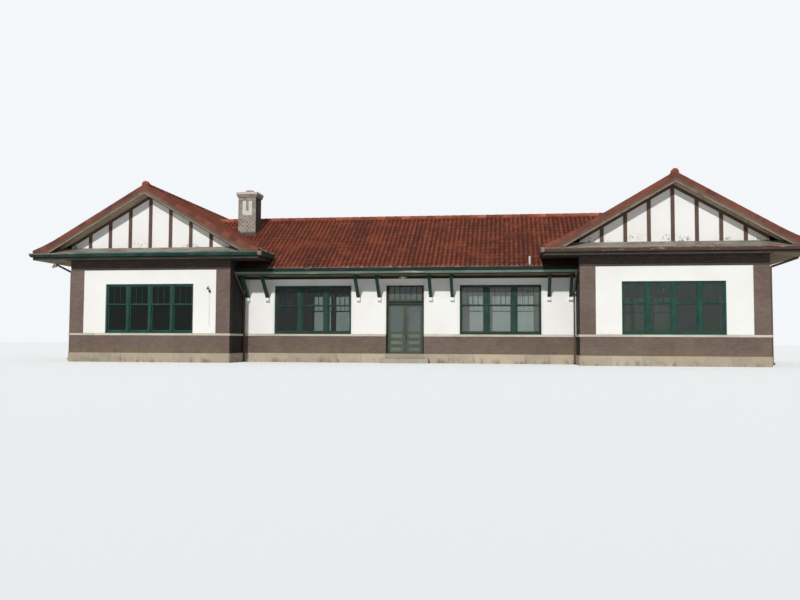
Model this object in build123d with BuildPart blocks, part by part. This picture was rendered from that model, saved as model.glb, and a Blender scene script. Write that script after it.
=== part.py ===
"""A one-storey brick and stucco railway station: a long hall between two gabled pavilions.

Units are millimetres. X runs along the building, +X to the east pavilion, -Y is the
platform front, +Z is up. The origin is on the ground at the middle of the plan.
"""
import os

from build123d import *

# Plan
building_length = 28900.0
pavilion_width = 7210.0
pavilion_depth = 10500.0
hall_recess = 1730.0
wall_thickness = 340.0

# Heights of the courses
base_top = 400.0
base_projection = 30.0
base_ledge = 110.0
sill_bottom = 1140.0
sill_height = 100.0
sill_projection = 40.0
pilaster_width = 620.0
pavilion_panel_top = 3945.0
hall_panel_top = 3640.0
panel_recess = 30.0
panel_thickness = 20.0
floor_thickness = 150.0

# Windows
pavilion_window_width = 3960.0
pavilion_window_head = 3350.0
pavilion_window_units = 4
pavilion_mullion = 110.0
hall_window_width = 3450.0
hall_window_share = 0.5642
hall_window_head = 3360.0
hall_window_units = 3
hall_mullion = 170.0
window_reveal = 70.0
frame_depth = 120.0
frame_width = 50.0
sash_depth = 40.0
sash_width = 45.0
bottom_rail = 75.0
upper_sash_share = 0.42
sash_offset = 22.0
glass_thickness = 8.0

# Door
door_opening_width = 1650.0
door_opening_head = 3360.0
door_reveal = 100.0
jamb_width = 60.0
door_frame_depth = 110.0
leaf_thickness = 45.0
leaf_top = 2530.0
leaf_gap = 6.0
transom_bar_height = 184.0
stile_width = 105.0
top_rail = 100.0
lock_rail_top = 1350.0
panel_rail = 80.0
panel_sink = 12.0
leaf_panels = 3
hinge_heights = (650.0, 1470.0, 2290.0)
knuckle_radius = 7.0
knuckle_height = 40.0
hinge_plate = 3.0
hinge_plate_width = 30.0
running_gap = 0.3
pull_height = 1110.0
pull_length = 150.0
pull_reach = 45.0
pull_thickness = 14.0
step_width = 2100.0
step_depth = 450.0
step_height = 200.0

# Pavilion roofs, whose deck stands at pavilion_deck_z over the side walls
pavilion_deck_z = 5397.0
pavilion_pitch = 7 / 12
roof_thickness = 180.0
gable_overhang = 600.0
eave_overhang = 1395.0
flare_run = 1200.0
flare_lift = 130.0
soffit_z = 4360.0
soffit_thickness = 25.0
fascia_thickness = 30.0
fascia_top_drop = 10.0
rake_depth = 360.0
rake_thickness = 50.0
pent_top = 4900.0
pent_edge = 4640.0
pent_thickness = 40.0
strip_width = 150.0
strip_spacing = 911.0
strip_thickness = 25.0
strip_count = 7
gable_frieze = 260.0
ridge_cap_radius = 120.0
ridge_cap_rise = 10.0
knob_radius = 150.0
knob_rise = 50.0
knob_length = 160.0

# Hall roof
hall_ridge_z = 6800.0
hall_eave_z = 4030.0
hall_roof_thickness = 150.0
hall_overhang = 1120.0
hall_soffit_z = 3750.0
frieze_thickness = 20.0

# Gutters and pipes
gutter_width = 125.0
gutter_height = 150.0
hall_gutter_height = 150.0
gutter_drop = 10.0
hall_gutter_drop = 100.0
gutter_wall = 8.0
gutter_bed = 80.0
gutter_lip = 45.0
gutter_past_hall = 480.0
pipe_radius = 38.0
pipe_bore = 34.0
pipe_foot = 100.0
pipe_elbow_z = 2900.0
vent_from_corner = 1940.0
vent_from_eave = 140.0
vent_height = 350.0
vent_radius = 45.0
vent_wall = 10.0

# Brackets: beside the door, either side of a window and in the inner corner
bracket_from_door = 295.0
bracket_from_window = 315.0
bracket_from_corner = 220.0
bracket_width = 130.0
bracket_foot_z = 2820.0
bracket_reach = 900.0
bracket_member = 110.0
corbel_width = 170.0
corbel_height = 130.0
corbel_reach = 150.0

# Chimney
chimney_past_corner = 545.0
chimney_y = -1200.0
chimney_width = 850.0
chimney_depth = 800.0
chimney_rise = 210.0
chimney_niche_depth = 60.0
niche_width = 480.0
niche_height = 710.0
niche_drop = 150.0
niche_bar = 110.0
niche_bar_height = 480.0
cap_overhang = 90.0
corbel_step = 45.0
cap_corbel_height = 130.0
cap_height = 100.0
flue_radius = 190.0
flue_wall = 30.0
flue_height = 130.0

# Lamps: a dish over the door, a swan neck on the west panel, two floods at the west eave
eave_lamp_radius = 170.0
eave_lamp_drop = 110.0
eave_lamp_from_wall = 730.0
lamp_stem_radius = 25.0
lamp_stem_drop = 50.0
lamp_rim = 10.0
neck_from_corner = 910.0
neck_plate_z = 3030.0
neck_plate_radius = 45.0
neck_plate_thickness = 15.0
neck_radius = 10.0
neck_rise = 190.0
neck_reach = 210.0
neck_standoff = 70.0
neck_bend = 35.0
shade_radius = 60.0
shade_height = 100.0
shade_top_radius = 20.0
flood_from_eave = 595.0
flood_stem = 150.0
flood_stem_radius = 15.0
flood_radius = 60.0
flood_length = 140.0
flood_spread = 35.0
flood_hub_radius = 40.0

# Places worked out from the sizes above
outer_x = building_length / 2
inner_x = outer_x - pavilion_width
pavilion_x = outer_x - pavilion_width / 2
front_y = -pavilion_depth / 2
hall_y = front_y + hall_recess
half_pavilion = pavilion_width / 2
pavilion_ridge_z = pavilion_deck_z + pavilion_pitch * half_pavilion
eave_x = half_pavilion + eave_overhang
roof_front_y = front_y - gable_overhang
hall_window_x = hall_window_share * inner_x
sill_top = sill_bottom + sill_height
pavilion_window_height = pavilion_window_head - sill_top
hall_window_height = hall_window_head - sill_top
straight_run = eave_x - flare_run
hall_eave_y = hall_y - hall_overhang
hall_pitch = (hall_ridge_z - hall_eave_z) / -hall_eave_y
flare_start_z = pavilion_ridge_z - pavilion_pitch * straight_run
eave_top_z = pavilion_ridge_z - pavilion_pitch * eave_x + flare_lift
gutter_top = pent_edge - gutter_drop
hall_gutter_top = hall_eave_z - hall_gutter_drop
pavilion_gutter_end_y = gutter_past_hall - hall_y
chimney_x = -inner_x - chimney_past_corner
chimney_top = pavilion_ridge_z + chimney_rise
niche_top = chimney_top - niche_drop
panel_face = panel_recess - panel_thickness

os.makedirs("parts", exist_ok=True)


def save(block, name):
    """Label a finished block's part and write it."""
    block.part.label = name
    export_step(block.part, f"parts/{name}.step")


def facing_front(x, y):
    """A drawing plane seen from the platform: drawing axes along +X and +Z."""
    return Plane(origin=(x, y, 0), x_dir=(1, 0, 0), z_dir=(0, -1, 0))


def across(x):
    """A drawing plane seen from the east end: drawing axes along +Y and +Z."""
    return Plane(origin=(x, 0, 0), x_dir=(0, 1, 0), z_dir=(1, 0, 0))


def pavilion_underside(offset):
    """Height of the pavilion rafters' underside above a wall, off the ridge line."""
    return pavilion_ridge_z - roof_thickness - pavilion_pitch * abs(offset)


def hall_deck(y):
    """Height of the hall's roof deck at a distance y from the ridge line."""
    return hall_ridge_z - hall_pitch * abs(y)


def pavilion_slope(drop, side):
    """Draw one slope of the pavilion roof line from ridge to flared eave."""
    ridge = Line((0, pavilion_ridge_z - drop), (side * straight_run, flare_start_z - drop))
    return TangentArc((side * straight_run, flare_start_z - drop),
                      (side * eave_x, eave_top_z - drop), tangent=ridge % 1)


def roof_band(low_drop):
    """Face between the pavilion's deck line and the same line lowered by low_drop."""
    with BuildLine() as outline:
        for side in (-1, 1):
            pavilion_slope(0, side)
            pavilion_slope(low_drop, side)
            Line((side * eave_x, eave_top_z), (side * eave_x, eave_top_z - low_drop))
    make_face(outline.edges())


def under_roof(drop, mode=Mode.ADD):
    """Face of all that lies below the pavilion's roof line lowered by drop."""
    with BuildLine() as outline:
        for side in (-1, 1):
            pavilion_slope(drop, side)
            Line((side * eave_x, eave_top_z - drop), (side * eave_x, 0))
        Line((-eave_x, 0), (eave_x, 0))
    make_face(outline.edges(), mode=mode)


def under_hall_roof(drop, mode=Mode.ADD):
    """Face, across the building, of all that lies below the hall's deck lowered by drop."""
    with BuildLine() as outline:
        Polyline((hall_eave_y, 0), (hall_eave_y, hall_eave_z - drop), (0, hall_ridge_z - drop),
                 (-hall_eave_y, hall_eave_z - drop), (-hall_eave_y, 0), close=True)
    make_face(outline.edges(), mode=mode)


def gable_outline(bottom, drop=0, mode=Mode.ADD):
    """Face of the pavilion's gable wall from a given height up to drop below the rafters."""
    with BuildLine() as outline:
        Polyline((-half_pavilion, bottom), (half_pavilion, bottom),
                 (half_pavilion, pavilion_underside(half_pavilion) - drop),
                 (0, pavilion_underside(0) - drop),
                 (-half_pavilion, pavilion_underside(half_pavilion) - drop), close=True)
    make_face(outline.edges(), mode=mode)


def plan_outline(grow, mode=Mode.ADD):
    """Face of the building's I-shaped plan, its walls moved out by grow."""
    Rectangle(2 * (outer_x + grow), 2 * (grow - hall_y), mode=mode)
    with Locations((-pavilion_x, 0), (pavilion_x, 0)):
        Rectangle(pavilion_width + 2 * grow, pavilion_depth + 2 * grow, mode=mode)


def window_frame(width, height, units, mullion):
    """Window of double-hung sashes, from the middle of its sill inwards along +Y.

    The upper sashes hang in front of the lower ones, and a fixed mullion stands
    between each two units.
    """
    inner_width = width - 2 * frame_width
    inner_height = height - 2 * frame_width
    unit_width = (inner_width - (units - 1) * mullion) / units
    pitch = unit_width + mullion
    upper_height = upper_sash_share * inner_height
    lower_height = inner_height - upper_height + sash_width
    upper_z = height - frame_width - upper_height / 2
    lower_z = frame_width + lower_height / 2
    light_z = lower_z + (bottom_rail - sash_width) / 2
    with BuildPart(mode=Mode.PRIVATE) as window:
        with BuildSketch(Plane.XZ):
            with Locations((0, height / 2)):
                Rectangle(width, height)
                Rectangle(inner_width, inner_height, mode=Mode.SUBTRACT)
        extrude(amount=-frame_depth)
        with BuildSketch(Plane.XZ):
            with Locations((0, height / 2)):
                with GridLocations(pitch, 1, units - 1, 1):
                    Rectangle(mullion, inner_height)
        extrude(amount=-sash_offset - 2 * sash_depth)
        with BuildSketch(Plane.XZ.offset(-sash_offset)):
            with Locations((0, upper_z)):
                with GridLocations(pitch, 1, units, 1):
                    Rectangle(unit_width, upper_height)
                    Rectangle(unit_width - 2 * sash_width, upper_height - 2 * sash_width,
                              mode=Mode.SUBTRACT)
        extrude(amount=-sash_depth)
        with BuildSketch(Plane.XZ.offset(-sash_offset - sash_depth)):
            with Locations((0, lower_z)):
                with GridLocations(pitch, 1, units, 1):
                    Rectangle(unit_width, lower_height)
            with Locations((0, light_z)):
                with GridLocations(pitch, 1, units, 1):
                    Rectangle(unit_width - 2 * sash_width, lower_height - sash_width - bottom_rail,
                              mode=Mode.SUBTRACT)
        extrude(amount=-sash_depth)
    return window.part


# Stone base under the walls, with a ledge inside that carries the floor
with BuildPart() as stone_base:
    with BuildSketch():
        plan_outline(base_projection)
        plan_outline(-wall_thickness - base_ledge, mode=Mode.SUBTRACT)
    extrude(amount=base_top)
    with BuildSketch(Plane.XY.offset(base_top)):
        plan_outline(-wall_thickness)
    extrude(amount=-floor_thickness, mode=Mode.SUBTRACT)
save(stone_base, "stone_base")

with BuildPart() as floor:
    with BuildSketch(Plane.XY.offset(base_top)):
        plan_outline(-wall_thickness)
    extrude(amount=-floor_thickness)
save(floor, "floor")

# East pavilion's gabled front wall, with the niches for its stucco sunk into it
panel_width = pavilion_width - 2 * pilaster_width
with BuildPart() as east_front_wall:
    with BuildSketch(facing_front(pavilion_x, front_y)):
        gable_outline(base_top)
        with Locations((0, sill_top + pavilion_window_height / 2)):
            Rectangle(pavilion_window_width, pavilion_window_height, mode=Mode.SUBTRACT)
    extrude(amount=-wall_thickness)
    with BuildSketch(facing_front(pavilion_x, front_y)):
        with Locations((0, (sill_top + pavilion_panel_top) / 2)):
            Rectangle(panel_width, pavilion_panel_top - sill_top)
    extrude(amount=-panel_recess, mode=Mode.SUBTRACT)
    with BuildSketch(facing_front(pavilion_x, front_y)):
        gable_outline(pent_top)
    extrude(amount=-panel_recess, mode=Mode.SUBTRACT)
save(east_front_wall, "east_front_wall")

with BuildPart() as east_back_wall:
    mirror(east_front_wall.part, about=Plane.XZ)
save(east_back_wall, "east_back_wall")

# East end wall, between the front and back walls
end_wall_half = pavilion_depth / 2 - wall_thickness
with BuildPart() as east_end_wall:
    with BuildSketch(facing_front(pavilion_x, -end_wall_half)):
        with BuildLine():
            Polyline((half_pavilion - wall_thickness, base_top), (half_pavilion, base_top),
                     (half_pavilion, pavilion_underside(half_pavilion)),
                     (half_pavilion - wall_thickness,
                      pavilion_underside(half_pavilion - wall_thickness)), close=True)
        make_face()
    extrude(amount=-2 * end_wall_half)
    with BuildSketch(across(outer_x)):
        with Locations((0, (sill_top + pavilion_panel_top) / 2)):
            Rectangle(pavilion_depth - 2 * pilaster_width, pavilion_panel_top - sill_top)
    extrude(amount=-panel_recess, mode=Mode.SUBTRACT)
    with BuildSketch(across(outer_x)):
        with Locations((0, sill_top + pavilion_window_height / 2)):
            Rectangle(pavilion_window_width, pavilion_window_height)
    extrude(amount=-wall_thickness, mode=Mode.SUBTRACT)
save(east_end_wall, "east_end_wall")

for name, east in (("west_front_wall", east_front_wall), ("west_back_wall", east_back_wall),
                   ("west_end_wall", east_end_wall)):
    with BuildPart() as west_wall:
        mirror(east.part, about=Plane.YZ)
    save(west_wall, name)

# Four short walls that return from the pavilions' fronts to the hall
with BuildPart() as return_walls:
    with BuildSketch(facing_front(pavilion_x, -end_wall_half)):
        with BuildLine():
            Polyline((-half_pavilion, base_top), (wall_thickness - half_pavilion, base_top),
                     (wall_thickness - half_pavilion,
                      pavilion_underside(half_pavilion - wall_thickness)),
                     (-half_pavilion, pavilion_underside(half_pavilion)), close=True)
        make_face()
    extrude(amount=-hall_recess)
    mirror(about=Plane.XZ)
    mirror(about=Plane.YZ)
save(return_walls, "return_walls")

# Hall walls: beside the front door, over it, and the back wall with its door and windows
hall_inner_y = hall_y + wall_thickness
wall_head_z = hall_deck(hall_y) - hall_roof_thickness
wall_head_inner_z = hall_deck(hall_inner_y) - hall_roof_thickness


def hall_wall_section(bottom):
    """Upright section of the hall's front wall, its head cut to the rafters' slope."""
    with BuildLine() as outline:
        Polyline((hall_y, bottom), (hall_inner_y, bottom), (hall_inner_y, wall_head_inner_z),
                 (hall_y, wall_head_z), close=True)
    make_face(outline.edges())


def hall_panel_niche(left, right):
    """Sink the stucco's niche into the hall's front between two places along it."""
    with BuildSketch(facing_front((left + right) / 2, hall_y)) as niche:
        with Locations((0, (sill_top + hall_panel_top) / 2)):
            Rectangle(right - left, hall_panel_top - sill_top)
    extrude(niche.sketch, amount=-panel_recess, mode=Mode.SUBTRACT)


door_half = door_opening_width / 2
with BuildPart() as hall_east_wall:
    with BuildSketch(across(door_half)):
        hall_wall_section(base_top)
    extrude(amount=inner_x - door_half)
    hall_panel_niche(door_half, inner_x)
    with BuildSketch(facing_front(hall_window_x, hall_y)):
        with Locations((0, sill_top + hall_window_height / 2)):
            Rectangle(hall_window_width, hall_window_height)
    extrude(amount=-wall_thickness, mode=Mode.SUBTRACT)
save(hall_east_wall, "hall_east_wall")

with BuildPart() as hall_west_wall:
    mirror(hall_east_wall.part, about=Plane.YZ)
save(hall_west_wall, "hall_west_wall")

with BuildPart() as over_door_wall:
    with BuildSketch(across(-door_half)):
        hall_wall_section(door_opening_head)
    extrude(amount=door_opening_width)
    hall_panel_niche(-door_half, door_half)
save(over_door_wall, "over_door_wall")

with BuildPart() as hall_back_wall:
    add(hall_east_wall.part)
    add(hall_west_wall.part)
    add(over_door_wall.part)
    mirror(about=Plane.XZ, mode=Mode.REPLACE)
save(hall_back_wall, "hall_back_wall")

# Stucco sheets in the niches of the walls
with BuildPart() as stucco:
    sheet_y = front_y + panel_recess
    with BuildSketch(facing_front(pavilion_x, sheet_y)):
        with Locations((0, (sill_top + pavilion_panel_top) / 2)):
            Rectangle(panel_width, pavilion_panel_top - sill_top)
        with Locations((0, sill_top + pavilion_window_height / 2)):
            Rectangle(pavilion_window_width, pavilion_window_height, mode=Mode.SUBTRACT)
        gable_outline(pent_top)
    extrude(amount=panel_thickness)
    with BuildSketch(across(outer_x - panel_recess)):
        with Locations((0, (sill_top + pavilion_panel_top) / 2)):
            Rectangle(pavilion_depth - 2 * pilaster_width, pavilion_panel_top - sill_top)
        with Locations((0, sill_top + pavilion_window_height / 2)):
            Rectangle(pavilion_window_width, pavilion_window_height, mode=Mode.SUBTRACT)
    extrude(amount=panel_thickness)
    with BuildSketch(facing_front(0, hall_y + panel_recess)):
        with Locations((inner_x / 2, (sill_top + hall_panel_top) / 2)):
            Rectangle(inner_x, hall_panel_top - sill_top)
        with Locations((hall_window_x, sill_top + hall_window_height / 2)):
            Rectangle(hall_window_width, hall_window_height, mode=Mode.SUBTRACT)
        with Locations((0, (sill_top + door_opening_head) / 2)):
            Rectangle(door_opening_width, door_opening_head - sill_top, mode=Mode.SUBTRACT)
    extrude(amount=panel_thickness)
    mirror(about=Plane.XZ)
    mirror(about=Plane.YZ)
save(stucco, "stucco")

# Sill course round the walls, broken at the two doors
with BuildPart() as sill_course:
    with BuildSketch(Plane.XY.offset(sill_bottom)):
        plan_outline(sill_projection)
        plan_outline(0, mode=Mode.SUBTRACT)
        Rectangle(door_opening_width, pavilion_depth, mode=Mode.SUBTRACT)
    extrude(amount=sill_height)
save(sill_course, "sill_course")

# Upright strips over the gables' stucco, under a frieze board that follows the rafters
with BuildPart() as gable_strips:
    with BuildSketch(facing_front(pavilion_x, front_y + panel_face)):
        gable_outline(pent_top)
        with Locations((0, pavilion_ridge_z / 2)):
            with GridLocations(strip_spacing, 1, strip_count, 1):
                Rectangle(strip_width, pavilion_ridge_z, mode=Mode.INTERSECT)
    extrude(amount=strip_thickness)
    with BuildSketch(facing_front(pavilion_x, front_y + panel_face)):
        gable_outline(pent_top)
        gable_outline(pent_top, gable_frieze, mode=Mode.SUBTRACT)
    extrude(amount=strip_thickness)
    mirror(about=Plane.XZ)
    mirror(about=Plane.YZ)
save(gable_strips, "gable_strips")

# Roofs: the pavilions' run from front to back, and the hall's dies into them at the valleys
with BuildPart() as chimney_shaft:
    with BuildSketch():
        with Locations((chimney_x, chimney_y)):
            Rectangle(chimney_width, chimney_depth)
    extrude(amount=chimney_top)

with BuildPart() as hall_attic:
    with BuildSketch(across(-pavilion_x)):
        under_hall_roof(hall_roof_thickness)
    extrude(amount=2 * pavilion_x)

with BuildPart() as east_roof:
    with BuildSketch(facing_front(pavilion_x, roof_front_y)):
        roof_band(roof_thickness)
    extrude(amount=2 * roof_front_y)
    add(hall_attic.part, mode=Mode.SUBTRACT)
save(east_roof, "east_roof")

with BuildPart() as west_roof:
    mirror(east_roof.part, about=Plane.YZ)
    add(chimney_shaft.part, mode=Mode.SUBTRACT)
save(west_roof, "west_roof")

with BuildPart() as pavilion_bulk:
    with BuildSketch(facing_front(pavilion_x, roof_front_y)):
        under_roof(0)
        with Locations((-half_pavilion - eave_overhang, soffit_z / 2)):
            Rectangle(2 * eave_overhang, soffit_z, mode=Mode.SUBTRACT)
    extrude(amount=2 * roof_front_y)
    with BuildSketch(across(inner_x - eave_overhang - fascia_thickness)):
        with Locations((0, (soffit_z + eave_top_z - fascia_top_drop) / 2)):
            Rectangle(-2 * roof_front_y, eave_top_z - fascia_top_drop - soffit_z)
    extrude(amount=fascia_thickness)

with BuildPart() as hall_roof:
    with BuildSketch(across(-pavilion_x)):
        under_hall_roof(0)
        under_hall_roof(hall_roof_thickness, mode=Mode.SUBTRACT)
    extrude(amount=2 * pavilion_x)
    add(pavilion_bulk.part, mode=Mode.SUBTRACT)
    mirror(pavilion_bulk.part, about=Plane.YZ, mode=Mode.SUBTRACT)
    add(chimney_shaft.part, mode=Mode.SUBTRACT)
save(hall_roof, "hall_roof")

# Ridge caps, cut to sit on the slopes
with BuildPart() as ridge_caps:
    with BuildSketch(facing_front(pavilion_x, roof_front_y)):
        with Locations((0, pavilion_ridge_z + ridge_cap_rise)):
            Circle(ridge_cap_radius)
        under_roof_cut = pavilion_ridge_z - pavilion_pitch * ridge_cap_radius
        with BuildLine():
            Polyline((-ridge_cap_radius, under_roof_cut), (0, pavilion_ridge_z),
                     (ridge_cap_radius, under_roof_cut), (ridge_cap_radius, 0),
                     (-ridge_cap_radius, 0), close=True)
        make_face(mode=Mode.SUBTRACT)
    extrude(amount=2 * roof_front_y)
    with BuildSketch(facing_front(pavilion_x, roof_front_y)):
        with Locations((0, pavilion_ridge_z + knob_rise)):
            Circle(knob_radius)
        under_roof(0, mode=Mode.SUBTRACT)
    extrude(amount=-knob_length)
    mirror(about=Plane.XZ)
    mirror(about=Plane.YZ)
    with BuildSketch(across(-pavilion_x)):
        with Locations((0, hall_ridge_z + ridge_cap_rise)):
            Circle(ridge_cap_radius)
        under_hall_cut = hall_ridge_z - hall_pitch * ridge_cap_radius
        with BuildLine():
            Polyline((-ridge_cap_radius, under_hall_cut), (0, hall_ridge_z),
                     (ridge_cap_radius, under_hall_cut), (ridge_cap_radius, 0),
                     (-ridge_cap_radius, 0), close=True)
        make_face(mode=Mode.SUBTRACT)
    extrude(amount=2 * pavilion_x)
    add(pavilion_bulk.part, mode=Mode.SUBTRACT)
    mirror(pavilion_bulk.part, about=Plane.YZ, mode=Mode.SUBTRACT)
save(ridge_caps, "ridge_caps")

# Rake boards along the gables' edges: the top follows the roof line, the foot is straight
rake_foot_x = (pavilion_ridge_z - rake_depth - pent_edge) / pavilion_pitch
with BuildPart() as rake_boards:
    with BuildSketch(facing_front(pavilion_x, roof_front_y)):
        under_roof(0)
        with BuildLine():
            Polyline((-rake_foot_x, pent_edge), (0, pavilion_ridge_z - rake_depth),
                     (rake_foot_x, pent_edge), (eave_x, pent_edge), (eave_x, 0), (-eave_x, 0),
                     (-eave_x, pent_edge), close=True)
        make_face(mode=Mode.SUBTRACT)
    extrude(amount=rake_thickness)
    mirror(about=Plane.XZ)
    mirror(about=Plane.YZ)
save(rake_boards, "rake_boards")

# Pent shelves across the gables: a sloping board and its fascia, under the rafters
with BuildPart() as pent_shelves:
    with BuildSketch(across(pavilion_x - eave_x)):
        with BuildLine():
            Polyline((front_y, pent_top), (roof_front_y, pent_edge),
                     (roof_front_y, soffit_z + soffit_thickness),
                     (roof_front_y + fascia_thickness, soffit_z + soffit_thickness),
                     (roof_front_y + fascia_thickness, pent_edge - pent_thickness),
                     (front_y, pent_top - pent_thickness), close=True)
        make_face()
    extrude(amount=2 * eave_x)
    with BuildSketch(facing_front(pavilion_x, front_y)):
        under_roof(roof_thickness)
    extrude(amount=gable_overhang, mode=Mode.INTERSECT)
    mirror(about=Plane.XZ)
    mirror(about=Plane.YZ)
save(pent_shelves, "pent_shelves")

# Boxed eaves round the pavilions: soffit and side fascias, ending at the hall's roof
with BuildPart() as east_eaves:
    with BuildSketch(Plane.XY.offset(soffit_z)):
        with Locations((pavilion_x, 0)):
            Rectangle(2 * eave_x, -2 * roof_front_y)
            Rectangle(pavilion_width, pavilion_depth, mode=Mode.SUBTRACT)
    extrude(amount=soffit_thickness)
    with BuildSketch(Plane.XY.offset(soffit_z)):
        with Locations((pavilion_x - eave_x - fascia_thickness / 2, 0),
                       (pavilion_x + eave_x + fascia_thickness / 2, 0)):
            Rectangle(fascia_thickness, -2 * roof_front_y)
    extrude(amount=eave_top_z - fascia_top_drop - soffit_z)
    add(hall_attic.part, mode=Mode.SUBTRACT)
save(east_eaves, "east_eaves")

with BuildPart() as west_eaves:
    mirror(east_eaves.part, about=Plane.YZ)
save(west_eaves, "west_eaves")

# Hall eaves, front and back: soffit, fascia and the frieze board under them
with BuildPart() as hall_eaves:
    with BuildSketch(across(-inner_x)):
        with BuildLine():
            Polyline((hall_y, hall_soffit_z), (hall_eave_y - fascia_thickness, hall_soffit_z),
                     (hall_eave_y - fascia_thickness, hall_eave_z - fascia_top_drop),
                     (hall_eave_y, hall_eave_z - fascia_top_drop),
                     (hall_eave_y, hall_soffit_z + soffit_thickness),
                     (hall_y, hall_soffit_z + soffit_thickness), close=True)
        make_face()
    extrude(amount=2 * inner_x)
    mirror(about=Plane.XZ)
save(hall_eaves, "hall_eaves")

with BuildPart() as hall_friezes:
    with BuildSketch(facing_front(0, hall_y)):
        with Locations((0, (hall_panel_top + hall_soffit_z) / 2)):
            Rectangle(2 * inner_x, hall_soffit_z - hall_panel_top)
    extrude(amount=frieze_thickness)
    mirror(about=Plane.XZ)
save(hall_friezes, "hall_friezes")

# Chimney on the floor, through the roofs at the valley, with its pale niche in front
chimney_front_y = chimney_y - chimney_depth / 2
with BuildPart() as chimney:
    with BuildSketch(Plane.XY.offset(base_top)):
        with Locations((chimney_x, chimney_y)):
            Rectangle(chimney_width, chimney_depth)
    extrude(amount=chimney_top - base_top)
    with BuildSketch(facing_front(chimney_x, chimney_front_y)):
        with Locations((0, niche_top - niche_height / 2)):
            Rectangle(niche_width, niche_height)
        with Locations((0, niche_top - niche_bar_height / 2)):
            Rectangle(niche_bar, niche_bar_height, mode=Mode.SUBTRACT)
    extrude(amount=-chimney_niche_depth, mode=Mode.SUBTRACT)
save(chimney, "chimney")

with BuildPart() as chimney_cap:
    with BuildSketch(Plane.XY.offset(chimney_top)):
        with Locations((chimney_x, chimney_y)):
            Rectangle(chimney_width + 2 * corbel_step, chimney_depth + 2 * corbel_step)
    extrude(amount=cap_corbel_height)
    with BuildSketch(Plane.XY.offset(chimney_top + cap_corbel_height)):
        with Locations((chimney_x, chimney_y)):
            Rectangle(chimney_width + 2 * cap_overhang, chimney_depth + 2 * cap_overhang)
    extrude(amount=cap_height)
    with BuildSketch(Plane.XY.offset(chimney_top + cap_corbel_height + cap_height)):
        with Locations((chimney_x, chimney_y)):
            Circle(flue_radius)
    extrude(amount=flue_height)
    with BuildSketch(Plane.XY.offset(chimney_top)):
        with Locations((chimney_x, chimney_y)):
            Circle(flue_radius - flue_wall)
    extrude(amount=cap_corbel_height + cap_height + flue_height, mode=Mode.SUBTRACT)
save(chimney_cap, "chimney_cap")

# Windows and their glass
pavilion_window = window_frame(pavilion_window_width, pavilion_window_height,
                               pavilion_window_units, pavilion_mullion)
hall_window = window_frame(hall_window_width, hall_window_height, hall_window_units,
                           hall_mullion)
glass_offset = sash_offset + 2 * sash_depth
with BuildPart() as pavilion_windows:
    with Locations((pavilion_x, front_y + window_reveal, sill_top)):
        add(pavilion_window)
    mirror(about=Plane.XZ)
    with Locations(Location((outer_x - window_reveal, 0, sill_top), (0, 0, 90))):
        add(pavilion_window)
    mirror(about=Plane.YZ)
save(pavilion_windows, "pavilion_windows")

with BuildPart() as hall_windows:
    with Locations((hall_window_x, hall_y + window_reveal, sill_top)):
        add(hall_window)
    mirror(about=Plane.XZ)
    mirror(about=Plane.YZ)
save(hall_windows, "hall_windows")

with BuildPart() as pavilion_glass:
    with BuildSketch(facing_front(pavilion_x, front_y + window_reveal + glass_offset)):
        with Locations((0, sill_top + pavilion_window_height / 2)):
            Rectangle(pavilion_window_width - 2 * frame_width,
                      pavilion_window_height - 2 * frame_width)
    extrude(amount=-glass_thickness)
    mirror(about=Plane.XZ)
    with BuildSketch(across(outer_x - window_reveal - glass_offset)):
        with Locations((0, sill_top + pavilion_window_height / 2)):
            Rectangle(pavilion_window_width - 2 * frame_width,
                      pavilion_window_height - 2 * frame_width)
    extrude(amount=-glass_thickness)
    mirror(about=Plane.YZ)
save(pavilion_glass, "pavilion_glass")

with BuildPart() as hall_glass:
    with BuildSketch(facing_front(hall_window_x, hall_y + window_reveal + glass_offset)):
        with Locations((0, sill_top + hall_window_height / 2)):
            Rectangle(hall_window_width - 2 * frame_width, hall_window_height - 2 * frame_width)
    extrude(amount=-glass_thickness)
    mirror(about=Plane.XZ)
    mirror(about=Plane.YZ)
save(hall_glass, "hall_glass")

# Door frames with their transom lights, front and back
frame_front_y = hall_y + door_reveal
leaf_front_y = frame_front_y + door_frame_depth - leaf_thickness
leaf_back_y = frame_front_y + door_frame_depth
clear_half = door_half - jamb_width
transom_bottom = leaf_top + leaf_gap
transom_top = transom_bottom + transom_bar_height
light_width = 2 * clear_half - 2 * sash_width
light_bottom = transom_top
light_height = door_opening_head - jamb_width - light_bottom
pin_x = clear_half - leaf_gap / 2
pin_y = leaf_back_y + knuckle_radius + running_gap
hinge_spots = [Location((pin_x, pin_y, height)) for height in hinge_heights]


def hinge_side(reach, low, high):
    """Knuckle between two heights about the pin, with its plate reaching along +X or -X."""
    with BuildPart(mode=Mode.PRIVATE) as hinge:
        with BuildSketch(Plane.XY.offset(low)):
            Circle(knuckle_radius)
            with Locations((reach / 2, leaf_back_y + hinge_plate / 2 - pin_y)):
                Rectangle(abs(reach), hinge_plate)
        extrude(amount=high - low)
    return hinge.part


half_knuckle = knuckle_height / 2
leaf_knuckle = hinge_side(-hinge_plate_width, -half_knuckle, half_knuckle)
upper_knuckle = hinge_side(hinge_plate_width, half_knuckle + running_gap, 2 * knuckle_height)
lower_knuckle = hinge_side(hinge_plate_width, -2 * knuckle_height, -half_knuckle - running_gap)

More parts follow.
